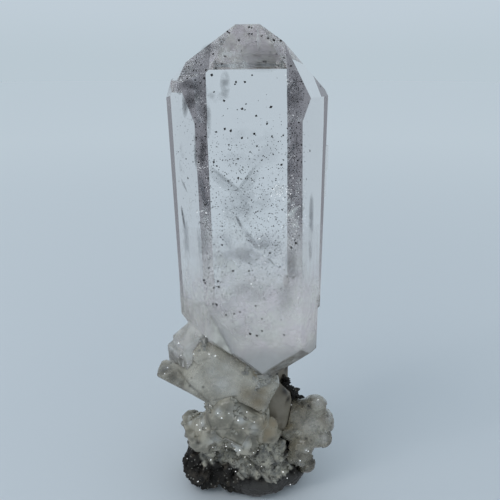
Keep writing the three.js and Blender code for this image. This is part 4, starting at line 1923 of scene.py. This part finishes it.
@dataclass
class Knobs(Cluster):
    """The milky knobs on the right, with the pale druse below them.

    Attributes:
        soften: How many times the skin is smoothed.
        flats: The broad facets.
        druse: Heights between which the knobs end and the druse is whole below.
        flat_share: How strong the facets are on the knobs, and how much stronger on the druse.
        druse_stain: How strongly the druse is stained.
    """

    waves: Waves = Waves(2.2 * MM, 0.2 * MM)
    seed: int = 51
    look: CloudyQuartz = CloudyQuartz(
        "knobby_quartz", pale=(0.70, 0.65, 0.545, 1), grey=(0.46, 0.42, 0.34, 1), clarity=0.6,
        stain=(0.30, 0.235, 0.13, 1), roughness=0.06, grit=1.6, flats=1.2, relief=0.05,
    )
    soften: int = 30
    flats: Flats = Flats(1.5 * MM, -0.5 * MM, 0.15 * MM, 53)
    druse: Span = (8 * MM, 9.5 * MM)
    flat_share: Span = (0.3, 0.6)
    druse_stain: float = 0.25
    stains: tuple = (
        (288, 424, 8, 0.9), (284, 412, 7, 0.8), (296, 438, 6, 0.5), (294, 446, 8, 0.5),
        (300, 404, 9, 0.7), (300, 470, 6, 0.5), (302, 446, 8, 0.35),
    )
    # Dark parts and painted shade: the black spot and crust, and shade in the druse.
    dark_and_shade_marks: tuple = (
        (296, 400, 5, 0.9), (302, 403, 5, 0.8), (309, 406, 3, 1), (306, 438.5, 1.6, 1),
        (287, 440, 5, 0.8), (288, 396, 5, 0.9), (312, 461, 6, 0.7), (299, 456, 4, 0.7),
        (286, 448, 4, 0.8), (305, 470, 4, 0.5),
        (295, 408, 6, 0.4), (311, 400, 2, 0.6), (306, 418, 7, 0.15),
    )
    # Whitest parts and painted highlights on the backlit rims.
    whites_and_highlights: tuple = (
        (318, 402, 5, 0.5), (330, 418, 5, 0.6), (324, 438, 7, 0.5), (312, 424, 7, 0.25),
        (298, 464, 6, 0.7), (306, 450, 2.5, 0.9), (333, 428, 4, 0.6), (291, 405, 2.5, 0.9),
    )
    # Painted shade between the crystals.
    lines: tuple = (
        (311, 410, 318, 414, 0.9, 0.3), (324, 414, 326, 426, 0.9, 0.25),
        (294, 450, 306, 455, 1, 0.6), (290, 438, 298, 434, 1, 0.5), (306, 455, 312, 450, 0.9, 0.5),
    )

    def build(self) -> None:
        """Builds the knobs."""
        skin = Skin("knob_crystals", "milky_knobs", self.voxel, soften=self.soften)
        waves = self.waves.at(Noise(self.seed), skin.points)
        low = 1 - ramp(skin.points[:, 2], *self.druse)
        least, more = self.flat_share
        skin.move(self.grow + waves + skin.facets(self.flats) * (least + more * low))
        self.mark_all(skin, stain=self.druse_stain * low)
        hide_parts("knob_crystals")
        finish(skin.piece, self.look.build(self.effects))


@dataclass
class Matrix(Cluster):
    """The dark porous matrix, pitted all over, with small quartz on its upper front.

    Attributes:
        free: Heights over which the surface leaves the flat base.
        back: Distances behind the axis over which patches of quartz set in.
        back_top: Heights over which they end.
        patch: The patches, where noise is high.
        patch_edge: How high it is at their edge.
        fray: Unevenness of the edge of all quartz.
        quartz_edge: The shares over which the quartz sets in.
        hollow_edge: The depths of cavities, as shares, over which it ends.
        smooth_side: Distances to the right over which the smooth part sets in.
        smooth_top: Heights over which it ends.
        ridge: Heights over which the jagged ridge sets in.
        crest: Heights over which its top is cut back.
        crest_cut: How far.
        bumps: The broad unevenness.
        pits: The pits, where the noise is high.
        pit_edge: How high it is at their edge.
        pit_depth: Their depth.
        crags: The sharp unevenness.
        coat_pitch: Width of the small crystal points.
        coat_share: How much of their height shows.
        flats: The broad facets of the quartz.
        quartz_lift: How far the quartz stands out of the stone.
        hollow_depth: Depth of the large cavities.
        line_depth: Depth of the dark lines.
        stray: How likely a small crystal is off the quartz.
        lumps: Marks of the lumps of quartz.
        hollows: Marks of the large cavities, cut in and painted black as painted shade.
    """

    voxel: float = 0.14 * MM
    grow: float = 0.15 * MM
    seed: int = 61
    crop: Crop = Crop(330, 0.6 * MM, 0.6, 62)
    loose: CloudyQuartz = CloudyQuartz(
        "matrix_points", pale=(0.64, 0.60, 0.51, 1), grey=(0.24, 0.225, 0.19, 1), clarity=0.4,
        clouds=0.8, roughness=0.0, grit=1.0, flats=3, marked=False,
    )
    free: Span = (0.15 * MM, 1.2 * MM)
    back: Span = (-2 * MM, 1 * MM)
    back_top: Span = (10 * MM, 11 * MM)
    patch: Waves = Waves(4 * MM, 1, 3, 40 * MM)
    patch_edge: Span = (0.05, 0.25)
    fray: Waves = Waves(1.8 * MM, 0.22)
    quartz_edge: Span = (0.25, 0.55)
    hollow_edge: Span = (0.3, 0.6)
    smooth_side: Span = (-4 * MM, 0)
    smooth_top: Span = (3.2 * MM, 4.6 * MM)
    ridge: Span = (11 * MM, 12.5 * MM)
    crest: Span = (14.5 * MM, 16 * MM)
    crest_cut: float = 0.6 * MM
    bumps: Waves = Waves(2.4 * MM, 0.4 * MM, 4)
    pits: Waves = Waves(1.1 * MM, 1, 3, 9 * MM)
    pit_edge: Span = (0.05, 0.35)
    pit_depth: float = 0.8 * MM
    crags: Waves = Waves(0.9 * MM, MM, 3, 5 * MM)
    coat_pitch: float = 0.7 * MM
    coat_share: float = 0.3
    flats: Flats = Flats(1.7 * MM, -0.6 * MM, 0.3 * MM, 63)
    quartz_lift: float = 0.35 * MM
    hollow_depth: float = 1.7 * MM
    line_depth: float = 0.5 * MM
    stray: float = 0.002
    lumps: tuple = (
        (212, 456, 8, 1), (224, 455, 9, 1), (236, 460, 9, 1), (250, 461, 11, 1), (262, 466, 11, 1),
        (276, 460, 10, 1), (284, 468, 9, 1), (244, 472, 7, 0.9), (203, 454, 6, 0.7),
        (266, 454, 9, 1), (278, 472, 8, 0.9), (228, 448, 8, 0.9), (214, 450, 7, 0.9),
        (270, 476, 7, 0.7), (256, 474, 7, 0.8), (205, 463, 4, 0.6), (280, 449, 8, 1),
        (272, 443, 6, 0.9), (286, 456, 6, 0.8),
    )
    hollows: tuple = (
        (222, 474, 6, 1), (230, 479, 5, 0.9), (214, 479, 5, 0.9), (292, 474, 3.5, 0.8),
        (191, 466, 4, 0.8), (204, 487, 5, 0.8), (196, 476, 4, 0.7), (187, 452, 3, 0.8),
        (200, 446, 3, 0.7),
    )
    # Crevices, cut in and painted black as painted shade.
    lines: tuple = (
        (186, 444, 200, 450, 1, 0.8), (200, 450, 214, 449, 1, 0.8), (247, 457, 256, 466, 1.2, 0.8),
        (222, 461, 236, 466, 1, 0.7), (262, 470, 272, 480, 1, 0.6), (206, 458, 212, 470, 1, 0.7),
        (236, 470, 250, 480, 1, 0.6), (270, 452, 276, 462, 1, 0.6), (256, 466, 262, 476, 1, 0.5),
        (214, 458, 224, 456, 0.9, 0.5), (282, 462, 290, 470, 1, 0.6),
    )

    def quartz_cover(self, skin: Skin, noise: Noise, hollow: Points) -> Points:
        """Works out where small quartz covers the stone.

        It is the larger of the lumps and of the patches at the back, with a frayed edge, and it
        is left out of the cavities.

        Args:
            skin: The skin.
            noise: The random field.
            hollow: How deep the cavities are, one share a point.

        Returns:
            One share a point.
        """
        _, y, z = skin.points.T
        patch = ramp(self.patch.at(noise, skin.points), *self.patch_edge)
        back = ramp(y, *self.back) * patch * (1 - ramp(z, *self.back_top))
        quartz = np.maximum(skin.spots(self.camera, self.lumps), back)
        quartz = ramp(quartz + self.fray.at(noise, skin.points), *self.quartz_edge)
        return quartz * (1 - ramp(hollow, *self.hollow_edge))

    def stone(self, skin: Skin, noise: Noise, quartz: Points, smooth: Points) -> Points:
        """Works out how far the stone and its quartz stand out of the CAD node.

        Broad bumps run all over. The bare stone has pits and crags, which its smooth part hardly
        has, and the ridge has more crags and fewer pits. The quartz has facets and crystal points.

        Args:
            skin: The skin.
            noise: The random field.
            quartz: Where quartz covers the stone, one share a point.
            smooth: Where the stone is smooth, one share a point.

        Returns:
            One distance a point.
        """
        points = skin.points
        ridge = ramp(points[:, 2], *self.ridge)
        porous = (1 - quartz) * (1 - 0.85 * smooth)
        bumps = self.bumps.at(noise, points) * (1 - 0.6 * smooth)
        pits = ramp(self.pits.at(noise, points), *self.pit_edge) * self.pit_depth * (1 - 0.7 * ridge)
        crags = self.crags.at(noise, points) * (0.3 + 0.6 * ridge)
        coat = (noise.points_coat(points, self.coat_pitch) - self.coat_pitch / 2) * self.coat_share
        broad = skin.facets(self.flats) + self.quartz_lift
        bare = self.grow + 0.1 * MM * ridge + bumps + (crags - pits) * porous
        return bare + (coat + broad) * quartz

    def build(self) -> None:
        """Builds the matrix, its base kept flat."""
        skin = Skin("matrix_rock", "porous_matrix", self.voxel)
        noise = Noise(self.seed)
        x, _, z = skin.points.T
        hollow = skin.spots(self.camera, self.hollows)
        crevice = skin.spots(self.camera, self.dotted_shade_lines())
        quartz = self.quartz_cover(skin, noise, hollow)
        smooth = ramp(x, *self.smooth_side) * (1 - ramp(z, *self.smooth_top)) * (1 - quartz)
        cut = hollow * self.hollow_depth + crevice * self.line_depth
        cut += ramp(z, *self.crest) * self.crest_cut
        skin.move((self.stone(skin, noise, quartz, smooth) - cut) * ramp(z, *self.free))
        mark(skin.piece, "quartz", quartz)
        mark(skin.piece, "smooth", smooth)
        # Painted shade in the cavities and crevices.
        mark(skin.piece, "hollow", np.maximum(hollow, crevice))
        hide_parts("matrix_rock")
        finish(skin.piece, DarkStone().build(self.effects))
        self.add_points(skin, Slot.DRUSY, quartz + self.stray)


@dataclass
class PaintedGlints(Part):
    """Painted highlights: small whitish grains that give out light on the cluster, where a tiny flat
    would mirror the light.

    Attributes:
        carriers: The pieces that carry them.
        proud: How far a glint's middle stands out.
        widths: Least and greatest width.
        pixels: Their pixels in the photograph.
    """

    seed: int = 71
    carriers: tuple = ("milky_blade", "drusy_shelf", "milky_knobs", "porous_matrix", "milky_foot")
    proud: float = 0.1 * MM
    widths: Span = (0.14 * MM, 0.3 * MM)
    pixels: tuple = (
        (187, 459), (198, 481), (215, 452), (211, 460), (227, 450), (229, 469), (236, 472),
        (202, 423), (218, 413), (229, 413), (238, 420), (243, 428), (232, 443), (235, 449),
        (240, 450), (206, 336), (209, 354), (215, 356), (262, 376), (258, 385), (168, 368),
        (165, 374), (179, 343), (181, 355), (194, 354), (264, 380), (306, 450), (308, 451),
        (283, 472), (287, 478), (290, 484), (258, 450), (253, 453), (245, 457), (292, 405),
        (200, 430), (206, 428), (222, 418), (247, 412), (254, 422), (300, 460), (296, 466),
        (330, 410), (318, 400), (197, 425), (213, 447), (226, 446), (262, 466), (250, 464),
    )

    def build(self) -> None:
        """Builds the painted highlights."""
        pieces = [bpy.data.objects[name] for name in self.carriers]
        rng = np.random.default_rng(self.seed)
        found = self.camera.seen(self.pixels, *pieces)
        found = found[np.isfinite(found[:, 0])]
        places = found[:, :3] + found[:, 3:] * self.proud
        sizes = rng.uniform(*self.widths, len(places))
        points, faces = specks(places, sizes, self.seed + 1)
        points = boxed(points)
        # Painted highlights: whitish grains that give out light.
        look = Plain("glint", (0.97, 0.98, 0.98, 1), (0.92, 0.93, 0.93, 1), 0.3, painted_glow=0.7)
        finish(new_piece("glints", points, faces), look.build(self.effects))


def main() -> None:
    """Builds everything in order."""
    logging.basicConfig(level=logging.INFO, format="%(message)s")
    camera = PhotoCamera()
    camera.build()
    Studio().build()
    effects = Effects()
    head = ClearHead(camera, effects)
    head.build()
    MilkyFoot(camera, effects, head=head).build()
    Blade(camera, effects).build()
    Shelf(camera, effects).build()
    Knobs(camera, effects).build()
    Matrix(camera, effects).build()
    PaintedGlints(camera, effects).build()


if __name__ == "__main__":
    main()
